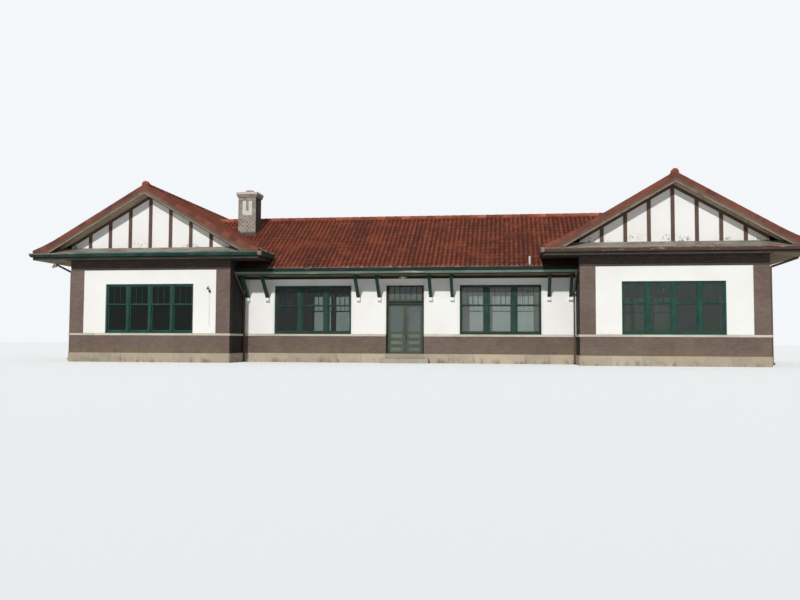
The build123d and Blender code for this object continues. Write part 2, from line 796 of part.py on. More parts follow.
with BuildPart() as door_frame:
    with BuildSketch(facing_front(0, frame_front_y)):
        with Locations((0, (base_top + door_opening_head) / 2)):
            Rectangle(door_opening_width, door_opening_head - base_top)
        with Locations((0, (base_top + transom_bottom) / 2)):
            Rectangle(2 * clear_half, transom_bottom - base_top, mode=Mode.SUBTRACT)
        with Locations((0, light_bottom + light_height / 2)):
            Rectangle(light_width, light_height, mode=Mode.SUBTRACT)
    extrude(amount=-door_frame_depth)
    with Locations(*hinge_spots):
        add(upper_knuckle)
        add(lower_knuckle)
    mirror(about=Plane.YZ)
save(door_frame, "door_frame")

# East leaf of the front door: stiles and rails round a tall light, over sunk panels
leaf_bottom = base_top + leaf_gap
leaf_width = clear_half - leaf_gap - leaf_gap / 2
leaf_mid_x = leaf_gap / 2 + leaf_width / 2
leaf_light_width = leaf_width - 2 * stile_width
leaf_light_bottom = lock_rail_top
leaf_light_height = leaf_top - top_rail - leaf_light_bottom
panels_height = lock_rail_top - panel_rail - leaf_bottom
panel_pitch = panels_height / leaf_panels
leaf_panel_height = panel_pitch - panel_rail
with BuildPart() as east_leaf:
    with BuildSketch(facing_front(leaf_mid_x, leaf_front_y)):
        with Locations((0, (leaf_bottom + leaf_top) / 2)):
            Rectangle(leaf_width, leaf_top - leaf_bottom)
        with Locations((0, leaf_light_bottom + leaf_light_height / 2)):
            Rectangle(leaf_light_width, leaf_light_height, mode=Mode.SUBTRACT)
    extrude(amount=-leaf_thickness)
    for face_y, into in ((leaf_front_y, -panel_sink), (leaf_back_y, panel_sink)):
        with BuildSketch(facing_front(leaf_mid_x, face_y)):
            with Locations((0, leaf_bottom + panel_rail + (panels_height - panel_rail) / 2)):
                with GridLocations(1, panel_pitch, 1, leaf_panels):
                    Rectangle(leaf_light_width, leaf_panel_height)
        extrude(amount=into, mode=Mode.SUBTRACT)
    with Locations(*hinge_spots):
        add(leaf_knuckle)
save(east_leaf, "east_leaf")

with BuildPart() as west_leaf:
    mirror(east_leaf.part, about=Plane.YZ)
save(west_leaf, "west_leaf")

with BuildPart() as east_leaf_glass:
    with BuildSketch(facing_front(leaf_mid_x, (leaf_front_y + leaf_back_y - glass_thickness) / 2)):
        with Locations((0, leaf_light_bottom + leaf_light_height / 2)):
            Rectangle(leaf_light_width, leaf_light_height)
    extrude(amount=-glass_thickness)
save(east_leaf_glass, "east_leaf_glass")

with BuildPart() as west_leaf_glass:
    mirror(east_leaf_glass.part, about=Plane.YZ)
save(west_leaf_glass, "west_leaf_glass")

# Pull on the east leaf's meeting stile
pull_x = leaf_gap / 2 + stile_width / 2
with BuildPart() as door_pull:
    with BuildLine(Plane(origin=(pull_x, leaf_front_y, pull_height), x_dir=(0, -1, 0),
                         z_dir=(1, 0, 0))) as pull_path:
        FilletPolyline((0, -pull_length / 2), (pull_reach, -pull_length / 2),
                       (pull_reach, pull_length / 2), (0, pull_length / 2),
                       radius=pull_thickness)
    with BuildSketch(facing_front(pull_x, leaf_front_y)):
        with Locations((0, pull_height - pull_length / 2)):
            Circle(pull_thickness / 2)
    sweep(path=pull_path.line)
save(door_pull, "door_pull")

# Back door: the same leaves and frame, closed for good, and the transom lights
with BuildPart() as back_door:
    with BuildSketch(facing_front(0, -frame_front_y)):
        with Locations((0, (base_top + door_opening_head) / 2)):
            Rectangle(door_opening_width, door_opening_head - base_top)
        with Locations((0, light_bottom + light_height / 2)):
            Rectangle(light_width, light_height, mode=Mode.SUBTRACT)
        with Locations((-leaf_mid_x, leaf_light_bottom + leaf_light_height / 2),
                       (leaf_mid_x, leaf_light_bottom + leaf_light_height / 2)):
            Rectangle(leaf_light_width, leaf_light_height, mode=Mode.SUBTRACT)
    extrude(amount=door_frame_depth)
    with BuildSketch(facing_front(0, -frame_front_y)):
        with Locations((0, (base_top + leaf_top) / 2)):
            Rectangle(2 * clear_half, leaf_top - base_top)
    extrude(amount=door_frame_depth - leaf_thickness, mode=Mode.SUBTRACT)
    with BuildSketch(facing_front(0, -leaf_front_y)):
        for mid_x in (-leaf_mid_x, leaf_mid_x):
            with Locations((mid_x, leaf_bottom + panel_rail + (panels_height - panel_rail) / 2)):
                with GridLocations(1, panel_pitch, 1, leaf_panels):
                    Rectangle(leaf_light_width, leaf_panel_height)
    extrude(amount=panel_sink, mode=Mode.SUBTRACT)
save(back_door, "back_door")

with BuildPart() as door_lights:
    light_y = (leaf_front_y + leaf_back_y - glass_thickness) / 2
    with BuildSketch(facing_front(0, light_y)):
        with Locations((0, light_bottom + light_height / 2)):
            Rectangle(light_width, light_height)
    extrude(amount=-glass_thickness)
    mirror(about=Plane.XZ)
    with BuildSketch(facing_front(0, -light_y)):
        with Locations((-leaf_mid_x, leaf_light_bottom + leaf_light_height / 2),
                       (leaf_mid_x, leaf_light_bottom + leaf_light_height / 2)):
            Rectangle(leaf_light_width, leaf_light_height)
    extrude(amount=glass_thickness)
save(door_lights, "door_lights")

with BuildPart() as door_steps:
    with BuildSketch():
        with Locations((0, hall_y - base_projection - step_depth / 2)):
            Rectangle(step_width, step_depth)
    extrude(amount=step_height)
    mirror(about=Plane.XZ)
save(door_steps, "door_steps")


def gutter_channel(height):
    """Face of a gutter's thin metal, its back top corner at the drawing's origin."""
    with BuildLine() as outline:
        Polyline((gutter_width, 0), (gutter_width, -gutter_lip), (gutter_bed, -height),
                 (0, -height), (0, 0))
        offset(amount=gutter_wall, side=Side.RIGHT)
    make_face(outline.edges())


# Gutters round each pavilion, mitred at the corners, and along the hall's two eaves
gutter_inner_x = pavilion_x - eave_x - fascia_thickness
gutter_outer_x = pavilion_x + eave_x + fascia_thickness
with BuildPart() as east_gutters:
    with BuildLine(Plane.XY.offset(gutter_top)) as gutter_path:
        Polyline((gutter_inner_x, -pavilion_gutter_end_y), (gutter_inner_x, roof_front_y),
                 (gutter_outer_x, roof_front_y), (gutter_outer_x, -roof_front_y),
                 (gutter_inner_x, -roof_front_y), (gutter_inner_x, pavilion_gutter_end_y))
    with BuildSketch(Plane(origin=(gutter_inner_x, -pavilion_gutter_end_y, gutter_top),
                           x_dir=(-1, 0, 0), z_dir=(0, 1, 0))):
        gutter_channel(gutter_height)
    sweep(path=gutter_path.line, transition=Transition.RIGHT)
    with BuildSketch(Plane(origin=(gutter_inner_x, -pavilion_gutter_end_y, gutter_top),
                           x_dir=(-1, 0, 0), z_dir=(0, 1, 0))):
        with BuildLine():
            Polyline((gutter_width, 0), (gutter_width, -gutter_lip), (gutter_bed, -gutter_height),
                     (0, -gutter_height), (0, 0), close=True)
        make_face()
    extrude(amount=gutter_wall)
    mirror(about=Plane.XZ)
save(east_gutters, "east_gutters")

with BuildPart() as west_gutters:
    mirror(east_gutters.part, about=Plane.YZ)
save(west_gutters, "west_gutters")

with BuildPart() as hall_gutters:
    with BuildSketch(Plane(origin=(inner_x, hall_eave_y - fascia_thickness, hall_gutter_top),
                           x_dir=(0, -1, 0), z_dir=(-1, 0, 0))):
        gutter_channel(hall_gutter_height)
    extrude(amount=2 * inner_x)
    mirror(about=Plane.XZ)
save(hall_gutters, "hall_gutters")

# Downspouts in the four inner corners, from the hall gutters down the walls
pipe_x = inner_x - sill_projection - pipe_radius - running_gap
pipe_wall_y = hall_y - sill_projection - pipe_radius - running_gap
outlet_y = hall_eave_y - fascia_thickness - gutter_width / 2
outlet_z = hall_gutter_top - hall_gutter_height - running_gap
with BuildPart() as downspouts:
    with BuildLine(Plane(origin=(pipe_x, 0, 0), x_dir=(0, 1, 0), z_dir=(1, 0, 0))) as pipe_path:
        FilletPolyline((outlet_y, outlet_z), (outlet_y, outlet_z - 2 * pipe_radius),
                       (pipe_wall_y, pipe_elbow_z), (pipe_wall_y, pipe_foot),
                       radius=pipe_radius)
    with BuildSketch(Plane(origin=(pipe_x, outlet_y, outlet_z), x_dir=(1, 0, 0),
                           z_dir=(0, 0, -1))):
        Circle(pipe_radius)
        Circle(pipe_bore, mode=Mode.SUBTRACT)
    sweep(path=pipe_path.line)
    mirror(about=Plane.XZ)
    mirror(about=Plane.YZ)
save(downspouts, "downspouts")

# Brackets under the hall's eaves: a beam under the soffit and a brace that stands on a corbel
stucco_y = hall_y + panel_face
bracket_top = hall_soffit_z
bracket_y = stucco_y - bracket_reach
brace_foot_y = stucco_y - bracket_member
beam_z = bracket_top - bracket_member
friezed_y = hall_y - frieze_thickness
brace_run = brace_foot_y - bracket_y
brace_rise = beam_z - bracket_foot_z
brace_length = (brace_run ** 2 + brace_rise ** 2) ** 0.5
brace_back_z = bracket_foot_z + bracket_member * (brace_length - brace_rise) / brace_run
bracket_offsets = (door_half + bracket_from_door,
                   hall_window_x - hall_window_width / 2 - bracket_from_window,
                   hall_window_x + hall_window_width / 2 + bracket_from_window,
                   inner_x - bracket_from_corner)
bracket_places = [side * offset for side in (-1, 1) for offset in bracket_offsets]
with BuildPart() as brackets:
    for place in bracket_places:
        with BuildSketch(across(place - bracket_width / 2)):
            with BuildLine():
                Polyline((stucco_y, bracket_foot_z), (stucco_y, brace_back_z),
                         (bracket_y + bracket_member * brace_length / brace_rise, beam_z),
                         (friezed_y, beam_z), (friezed_y, bracket_top),
                         (bracket_y, bracket_top), (bracket_y, beam_z),
                         (brace_foot_y, bracket_foot_z), close=True)
            make_face()
        extrude(amount=bracket_width)
    mirror(about=Plane.XZ)
save(brackets, "brackets")

with BuildPart() as corbels:
    with BuildSketch(Plane.XY.offset(bracket_foot_z)):
        for place in bracket_places:
            with Locations((place, stucco_y - corbel_reach / 2)):
                Rectangle(corbel_width, corbel_reach)
    extrude(amount=-corbel_height)
    mirror(about=Plane.XZ)
save(corbels, "corbels")

# Vent pipe on the hall roof
vent_y = hall_eave_y + vent_from_eave
with BuildPart() as vent_pipe:
    with BuildSketch(Plane.XY.offset(hall_deck(vent_y) - vent_radius)):
        with Locations((inner_x - vent_from_corner, vent_y)):
            Circle(vent_radius)
            Circle(vent_radius - vent_wall, mode=Mode.SUBTRACT)
    extrude(amount=vent_height + vent_radius)
    add(hall_roof.part, mode=Mode.SUBTRACT)
save(vent_pipe, "vent_pipe")

# Lamps
eave_lamp_y = hall_y - eave_lamp_from_wall
dish_z = hall_soffit_z - eave_lamp_drop
neck_x = -inner_x - neck_from_corner
neck_wall_y = front_y + panel_face
neck_foot_y = neck_wall_y - neck_plate_thickness
shade_y = neck_wall_y - neck_reach
shade_z = neck_plate_z + neck_rise - neck_bend - shade_height
flood_x = -outer_x - eave_overhang + flood_from_eave
flood_hub_z = soffit_z - flood_stem
with BuildPart() as lamps:
    with BuildSketch(facing_front(0, eave_lamp_y)):
        with BuildLine():
            Polyline((0, hall_soffit_z), (lamp_stem_radius, hall_soffit_z),
                     (lamp_stem_radius, hall_soffit_z - lamp_stem_drop),
                     (eave_lamp_radius, dish_z), (eave_lamp_radius, dish_z - lamp_rim),
                     (0, dish_z - lamp_rim), close=True)
        make_face()
    revolve(axis=Axis((0, eave_lamp_y, 0), (0, 0, 1)))
    with BuildSketch(facing_front(neck_x, neck_wall_y)):
        with Locations((0, neck_plate_z)):
            Circle(neck_plate_radius)
    extrude(amount=neck_plate_thickness)
    with BuildLine(across(neck_x)) as neck_path:
        FilletPolyline((neck_foot_y, neck_plate_z),
                       (neck_foot_y - neck_standoff, neck_plate_z),
                       (neck_foot_y - neck_standoff, neck_plate_z + neck_rise),
                       (shade_y, neck_plate_z + neck_rise),
                       (shade_y, shade_z + shade_height), radius=neck_bend)
    with BuildSketch(facing_front(neck_x, neck_foot_y)):
        with Locations((0, neck_plate_z)):
            Circle(neck_radius)
    sweep(path=neck_path.line)
    with BuildSketch(facing_front(neck_x, shade_y)):
        with BuildLine():
            Polyline((0, shade_z + shade_height), (shade_top_radius, shade_z + shade_height),
                     (shade_radius, shade_z), (0, shade_z), close=True)
        make_face()
    revolve(axis=Axis((neck_x, shade_y, 0), (0, 0, 1)))
    with BuildSketch(Plane.XY.offset(flood_hub_z)):
        with Locations((flood_x, front_y)):
            Circle(flood_stem_radius)
    extrude(amount=flood_stem)
    with Locations((flood_x, front_y, flood_hub_z)):
        Sphere(flood_hub_radius)
    with Locations(Location((flood_x, front_y, flood_hub_z), (flood_spread, -flood_spread, 0)),
                   Location((flood_x, front_y, flood_hub_z), (flood_spread, flood_spread, 0))):
        Cone(flood_radius, flood_stem_radius, flood_length,
             align=(Align.CENTER, Align.CENTER, Align.MAX))
save(lamps, "lamps")
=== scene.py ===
"""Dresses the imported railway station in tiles, painted brick, stone, sashes and worn paint.

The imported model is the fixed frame, in metres: X runs along the building, the platform
front faces -Y, and the origin is on the ground at the middle of the plan. In the code a side
of -1 or 1 is the west or the east, and an end of -1 or 1 is the platform front or the back.
"""
import logging
import math
from dataclasses import dataclass
from enum import Enum
from itertools import product
from typing import Callable, Iterator, Optional, Sequence

import bpy
import numpy as np
from mathutils import Matrix, Vector


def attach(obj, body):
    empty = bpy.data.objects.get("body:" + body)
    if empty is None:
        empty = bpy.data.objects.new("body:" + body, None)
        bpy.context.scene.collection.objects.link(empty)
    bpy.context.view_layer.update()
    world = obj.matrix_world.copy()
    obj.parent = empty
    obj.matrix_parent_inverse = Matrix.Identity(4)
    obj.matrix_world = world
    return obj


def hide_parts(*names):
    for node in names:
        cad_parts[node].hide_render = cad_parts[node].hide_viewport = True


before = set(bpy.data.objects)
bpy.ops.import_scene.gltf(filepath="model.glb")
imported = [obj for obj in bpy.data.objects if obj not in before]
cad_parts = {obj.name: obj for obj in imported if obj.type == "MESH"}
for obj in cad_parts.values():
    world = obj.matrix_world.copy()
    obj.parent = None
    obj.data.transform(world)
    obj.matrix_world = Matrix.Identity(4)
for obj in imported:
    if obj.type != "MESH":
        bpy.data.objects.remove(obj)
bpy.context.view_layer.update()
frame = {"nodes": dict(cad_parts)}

log = logging.getLogger("station")
rng = np.random.default_rng(5746)

Array = np.ndarray
Vec = tuple[float, float, float]
Hiding = Callable[[Array], Array]
X: Vec = (1.0, 0.0, 0.0)
Y: Vec = (0.0, 1.0, 0.0)
UP: Vec = (0.0, 0.0, 1.0)
SIDES = (-1.0, 1.0)
CORNERS = tuple(product(SIDES, SIDES))


class Body(Enum):
    """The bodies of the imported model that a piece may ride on."""

    STATION = "station"
    EAST_DOOR = "east_door"
    WEST_DOOR = "west_door"


# Sizes


@dataclass(frozen=True)
class Plan:
    """The building's own sizes in metres, as its solids have them."""

    outer_x: float = 14.45
    inner_x: float = 7.24
    pavilion_x: float = 10.845
    front_y: float = 5.25
    hall_y: float = 3.52
    base_top: float = 0.40
    base_projection: float = 0.03
    step_top: float = 0.205
    sill_bottom: float = 1.14
    sill_top: float = 1.24
    pilaster: float = 0.62
    panel_top: float = 3.945
    stucco_depth: float = 0.01
    soffit_z: float = 4.36
    hall_soffit_z: float = 3.75
    eave_x: float = 5.0
    overhang_y: float = 5.85
    pent_top: float = 4.90
    pent_edge: float = 4.64
    hall_eave_y: float = 4.64
    hall_eave_z: float = 4.03
    hall_ridge_z: float = 6.80
    door_half: float = 0.825
    door_head: float = 3.36
    door_reveal: float = 0.10

    @property
    def hall_pitch(self) -> float:
        """Fall of the hall's roof per metre of plan."""
        return (self.hall_ridge_z - self.hall_eave_z) / self.hall_eave_y

    def hall_deck(self, y: Array) -> Array:
        """Height of the hall's roof deck at a distance y from its ridge."""
        return self.hall_ridge_z - self.hall_pitch * np.abs(y)


@dataclass(frozen=True)
class RoofLine:
    """A pavilion's roof line: straight down from the ridge, then an arc that lifts the eave."""

    ridge_z: float = 7.49992
    pitch: float = 7 / 12
    straight_run: float = 3.8
    eave_x: float = 5.0
    eave_z: float = 4.713253

    @property
    def slant(self) -> float:
        """Length on the straight slope per metre of plan."""
        return math.hypot(1.0, self.pitch)

    @property
    def straight_length(self) -> float:
        """Length of the straight part, measured on the slope."""
        return self.straight_run * self.slant

    @property
    def bend(self) -> tuple[float, float]:
        """Half the arc's angle and its radius, from the chord and the tangent at its start."""
        start_z = self.ridge_z - self.pitch * self.straight_run
        chord = np.array([self.eave_x - self.straight_run, self.eave_z - start_z])
        length = float(np.hypot(*chord))
        half = math.acos(float(chord @ np.array([1.0, -self.pitch])) / self.slant / length)
        return half, length / (2 * math.sin(half))

    @property
    def length(self) -> float:
        """Length of the whole slope from ridge to eave."""
        half, radius = self.bend
        return self.straight_length + 2 * half * radius

    def at(self, run: Array) -> tuple[Array, Array]:
        """Places and outward normals at lengths down the slope.

        A length beyond the straight part turns into an angle round the arc, and the place
        is the arc's start plus radius times (sin along the tangent, 1 - cos along the normal).

        Args:
            run: Lengths from the ridge, in metres.

        Returns:
            Rows of places and of unit normals, each as (distance off the ridge, z).
        """
        tangent = np.array([1.0, -self.pitch]) / self.slant
        normal = np.array([self.pitch, 1.0]) / self.slant
        _, radius = self.bend
        straight = np.minimum(run, self.straight_length)[..., None]
        angle = np.maximum(run - self.straight_length, 0.0)[..., None] / radius
        place = (np.array([0.0, self.ridge_z]) + straight * tangent
                 + radius * (np.sin(angle) * tangent + (1 - np.cos(angle)) * normal))
        return place, np.cos(angle) * normal - np.sin(angle) * tangent

    def table(self) -> Array:
        """Close rows of (distance off the ridge, z) down the whole slope."""
        return self.at(np.linspace(0.0, self.length, 400))[0]

    def height(self, off_ridge: Array) -> Array:
        """Height of the deck at distances off the ridge line; far below outside the eaves."""
        off, rows = np.abs(off_ridge), self.table()
        return np.where(off > self.eave_x, -9.0, np.interp(off, rows[:, 0], rows[:, 1]))


@dataclass(frozen=True)
class Facing:
    """A flat face of the building, with its own directions along and up it."""

    origin: Vec
    along: Vec
    up: Vec = UP

    @property
    def out(self) -> Array:
        """Unit vector away from the wall."""
        return np.cross(self.along, self.up)

    def turn(self, a: Array, b: Array, d: Array = 0.0) -> Array:
        """Vectors that go a along, b up and d out of the face."""
        a, b, d = np.broadcast_arrays(np.asarray(a, float), b, d)
        return (a[..., None] * np.array(self.along) + b[..., None] * np.array(self.up)
                + d[..., None] * self.out)

    def place(self, a: Array, b: Array, d: Array = 0.0) -> Array:
        """Points that lie a along, b up and d out from the face's origin."""
        return np.array(self.origin) + self.turn(a, b, d)


Run = tuple[Facing, float, float]
Opening = tuple[Facing, float, float, float, float]


def front(end: float, x: float, y: float, z: float = 0.0) -> Facing:
    """An upright face towards the platform or the back, y from the middle."""
    return Facing((x, end * y, z), (-end, 0.0, 0.0))


def flank(side: float, x: float, z: float = 0.0) -> Facing:
    """An upright face towards the west or the east, x from the middle."""
    return Facing((side * x, 0.0, z), (0.0, side, 0.0))


def stand(rows: Array, axis: int, side: float, centre: float = 0.0, along: float = 0.0) -> Array:
    """Stand rows of (distance off the ridge, z) on one side of a ridge.

    Args:
        rows: The rows.
        axis: 0 where the ridge runs along X, 1 along Y.
        side: The side of the ridge.
        centre: Where the ridge is across its axis.
        along: Where the points are along it.

    Returns:
        Rows of (x, y, z).
    """
    points = np.full((len(rows), 3), along)
    points[:, 1 - axis] = centre + side * rows[:, 0]
    points[:, 2] = rows[:, 1]
    return points


def lengths(start: float, end: float, step: float) -> Array:
    """Edges that cut a stretch into equal lengths of about a step each."""
    return np.linspace(start, end, max(1, round((end - start) / step)) + 1)


def ring_section(radius: float, count: int = 12, start: float = 0.0, end: float = 360.0) -> Array:
    """Points round a circle, or part of one, at equal angles in degrees."""
    angle = np.radians(np.linspace(start, end, count, endpoint=abs(end - start) < 360.0))
    return radius * np.stack([np.cos(angle), np.sin(angle)], -1)


def bar_section(wide: float, narrow: float, back: float, shoulder: float, face: float) -> Array:
    """A glazing bar's section: half its width at the glass and at its face, and its depths."""
    return np.array([[-wide, back], [wide, back], [wide, shoulder], [narrow, face],
                     [-narrow, face], [-wide, shoulder]])


def revolve(middle: Vec, section: Array, count: int) -> Array:
    """Turn a section of (radius, height) once round an upright line.

    Args:
        middle: The point that the heights count from.
        section: Rows of two numbers.
        count: How many times it stands round the line, the last on the first.

    Returns:
        A grid of points: a row for each turn, with the section's points along it.
    """
    angle = np.radians(np.linspace(0.0, 360.0, count))
    radial = np.stack([np.cos(angle), np.sin(angle), np.zeros(count)], -1)
    return (np.array(middle) + section[None, :, :1] * radial[:, None]
            + section[None, :, 1:] * np.array(UP))


# Meshes


def show(name: str, data: bpy.types.ID) -> bpy.types.Object:
    """Put a new object into the scene, at the origin."""
    thing = bpy.data.objects.new(name, data)
    bpy.context.scene.collection.objects.link(thing)
    return thing


class Making:
    """A mesh in the making, gathered as whole arrays of points, faces and tints."""

    def __init__(self, name: str) -> None:
        """Start an empty mesh with the piece's name."""
        self.name, self.count = name, 0
        self.points: list[Array] = []
        self.faces: list[Array] = []
        self.tints: list[Array] = []

    def add(self, points: Array, faces: Array, tint: Array = 0.5) -> None:
        """Add points and the faces between them.

        Args:
            points: Any array whose last axis is (x, y, z).
            faces: One row of point numbers for each face, counted from the first point here.
            tint: One number from 0, dark, to 1, light, for all the faces or for each.
        """
        points, faces = np.asarray(points, float).reshape(-1, 3), np.asarray(faces, int)
        self.points.append(points)
        self.faces.append(faces + self.count)
        self.tints.append(np.broadcast_to(np.asarray(tint, float), (len(faces),)))
        self.count += len(points)

    def skin(self, points: Array, tint: Array = 0.5, keep: Optional[Array] = None,
             flip: bool = False, closed: bool = False) -> None:
        """Lay a skin over a grid of points, a face for each four neighbours.

        Args:
            points: An array of rows and columns of points.
            tint: One number for all the faces, or one for each.
            keep: True for each face that stays, row by row.
            flip: True where the faces would point inwards.
            closed: True where the last column joins the first.
        """
        rows, columns = points.shape[:2]
        index = np.arange(rows * columns).reshape(rows, columns)
        right = np.roll(index, -1, axis=1)
        last = columns if closed else columns - 1
        quads = np.stack([index[:-1, :last], right[:-1, :last], right[1:, :last],
                          index[1:, :last]], axis=-1).reshape(-1, 4)
        tints = np.broadcast_to(np.asarray(tint, float), (len(quads),))
        if keep is not None:
            quads, tints = quads[keep.ravel()], tints[keep.ravel()]
        self.add(points, quads[:, ::-1] if flip else quads, tints)

    def solids(self, points: Array, sides: Sequence[Sequence[int]], tint: Array) -> None:
        """Add solids of eight points each, all with the same sides."""
        faces = (np.arange(len(points))[:, None, None] * 8 + np.array(sides)).reshape(-1, 4)
        self.add(points, faces, np.repeat(np.broadcast_to(tint, (len(points),)), len(sides)))

    def blocks(self, face: Facing, a0: Array, a1: Array, b0: Array, b1: Array,
               depth: float, taper: float, tint: Array = 0.5, base: float = 0.0) -> None:
        """Stand blocks with sloping edges on a face, each between two places along and up it.

        Args:
            face: The face they stand on.
            a0: Where each starts along the face.
            a1: Where each ends along the face.
            b0: Lower edge of each.
            b1: Upper edge of each.
            depth: How far the blocks stand out.
            taper: How much smaller the outer face is all round.
            tint: One number for all the blocks, or one for each.
            base: Height of their feet off the face.
        """
        a0, a1, b0, b1 = np.broadcast_arrays(*map(np.atleast_1d, (a0, a1, b0, b1)))
        along = np.stack([a0, a1, a1, a0, a0 + taper, a1 - taper, a1 - taper, a0 + taper], -1)
        upward = np.stack([b0, b0, b1, b1, b0 + taper, b0 + taper, b1 - taper, b1 - taper], -1)
        points = face.place(along, upward, np.array([base] * 4 + [base + depth] * 4))
        self.solids(points, ((0, 1, 5, 4), (1, 2, 6, 5), (2, 3, 7, 6), (3, 0, 4, 7),
                             (4, 5, 6, 7)), tint)

    def boxes(self, centres: Array, halves: Array) -> None:
        """Add closed boxes along the frame's directions, by middle points and half sizes."""
        signs = np.array([[-1, -1, -1], [1, -1, -1], [1, 1, -1], [-1, 1, -1],
                          [-1, -1, 1], [1, -1, 1], [1, 1, 1], [-1, 1, 1]])
        points = np.atleast_2d(centres)[:, None] + np.atleast_2d(halves)[:, None] * signs
        self.solids(points, ((0, 3, 2, 1), (4, 5, 6, 7), (0, 1, 5, 4), (1, 2, 6, 5),
                             (2, 3, 7, 6), (3, 0, 4, 7)), 0.5)

    def bead(self, face: Facing, edges: Sequence[float], steps: Sequence[Sequence[float]]) -> None:
        """Line a rectangle with a bead.

        Args:
            face: The face it lies in.
            edges: The rectangle's left, right, foot and head.
            steps: For each ring of the bead how far it is set in and how far out.
        """
        left, right, low, high = edges
        rings = [face.place([left + inset, right - inset, right - inset, left + inset],
                            np.array([low + inset, low + inset, high - inset, high - inset]), out)
                 for inset, out in steps]
        self.skin(np.stack(rings), closed=True)

    def sweep(self, section: Array, path: Array, first: Array, second: Array,
              scale: Array = 1.0, closed: bool = True, capped: bool = True,
              tint: Array = 0.5) -> None:
        """Carry a section along a path.

        Each point is path + scale * (section[0] * first + section[1] * second).

        Args:
            section: Outline of the section, as rows of two numbers.
            path: Rows of points.
            first: Direction of the section's first number, for all rows or for each.
            second: Direction of its second number.
            scale: Size of the section, for all rows or for each.
            closed: True where the outline closes on itself.
            capped: True to close the two ends.
            tint: One number for all the faces, or one for each row of faces.
        """
        first, second = (np.broadcast_to(np.asarray(v, float), path.shape) for v in (first, second))
        size = np.broadcast_to(np.asarray(scale, float), (len(path),))[:, None, None]
        points = path[:, None] + size * (section[None, :, :1] * first[:, None]
                                         + section[None, :, 1:] * second[:, None])
        turned = np.roll(section, -1, axis=0)
        area = float(np.sum(section[:, 0] * turned[:, 1] - turned[:, 0] * section[:, 1]))
        flip = area * float(np.cross(first[0], second[0]) @ (path[-1] - path[0])) < 0
        row_tint = np.broadcast_to(np.asarray(tint, float), (len(path) - 1,))
        self.skin(points, np.repeat(row_tint, len(section) - (not closed)), flip=flip,
                  closed=closed)
        if capped:
            ring = np.arange(len(section))[None]
            for row, backward in ((0, not flip), (len(path) - 1, flip)):
                self.add(points[row], ring[:, ::-1] if backward else ring, row_tint[0])

    def made(self, finish: "Finish", slot: str, body: Body = Body.STATION,
             replaces: Sequence[str] = (), smooth_degrees: float = 0.0) -> None:
        """Turn the arrays into a finished piece, at the origin, that rides on a body.

        Args:
            finish: The material it gets.
            slot: Not used.
            body: The body that it rides on.
            replaces: CAD nodes that it stands for.
            smooth_degrees: Edges flatter than this are shaded smooth; 0 for none.
        """
        corners = np.concatenate([faces.ravel() for faces in self.faces])
        sizes = np.concatenate([np.full(len(faces), faces.shape[1]) for faces in self.faces])
        used, corners = np.unique(corners, return_inverse=True)
        mesh = bpy.data.meshes.new(self.name)
        mesh.vertices.add(len(used))
        points = np.concatenate(self.points)[used]
        mesh.vertices.foreach_set("co", points.astype(np.float32).ravel())
        mesh.loops.add(len(corners))
        mesh.loops.foreach_set("vertex_index", corners.astype(np.int32).ravel())
        mesh.polygons.add(len(sizes))
        mesh.polygons.foreach_set("loop_start", (np.cumsum(sizes) - sizes).astype(np.int32))
        tint = mesh.attributes.new("tint", "FLOAT", "FACE")
        tint.data.foreach_set("value", np.concatenate(self.tints).astype(np.float32))
        mesh.update(calc_edges=True)
        if smooth_degrees:
            mesh.shade_smooth()
            mesh.set_sharp_from_angle(angle=math.radians(smooth_degrees))
        else:
            mesh.shade_flat()
        piece = show(self.name, mesh)
        mesh.materials.append(finish.material())
        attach(piece, body.value)
        if replaces:
            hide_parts(*replaces)
        log.info("%s: %d faces", self.name, len(sizes))


# Finishes


class Nodes:
    """Adds shader nodes to a tree."""

    def __init__(self, tree: bpy.types.NodeTree) -> None:
        """Take the tree."""
        self.tree = tree

    def put(self, socket: bpy.types.NodeSocket, value: object) -> None:
        """Link a socket to a value, or set it where the value is plain."""
        if isinstance(value, bpy.types.NodeSocket):
            self.tree.links.new(value, socket)
        elif isinstance(value, tuple):
            socket.default_value = (*value, 1.0)[:len(socket.default_value)]
        else:
            socket.default_value = value

    def add(self, kind: str, output: object, inputs: Optional[dict] = None,
            **settings: object) -> bpy.types.NodeSocket:
        """Add a node.

        Args:
            kind: Its type, without the word ShaderNode.
            output: The output that is wanted, by name or number.
            inputs: What its inputs are linked or set to, by name or number.
            settings: Its own settings.

        Returns:
            The output.
        """
        node = self.tree.nodes.new(f"ShaderNode{kind}")
        for name, value in settings.items():
            setattr(node, name, value)
        for place, value in (inputs or {}).items():
            self.put(node.inputs[place], value)
        return node.outputs[output]

    def combine(self, operation: str, first: object, second: object) -> bpy.types.NodeSocket:
        """The result of one Math node."""
        return self.add("Math", 0, {0: first, 1: second}, operation=operation)


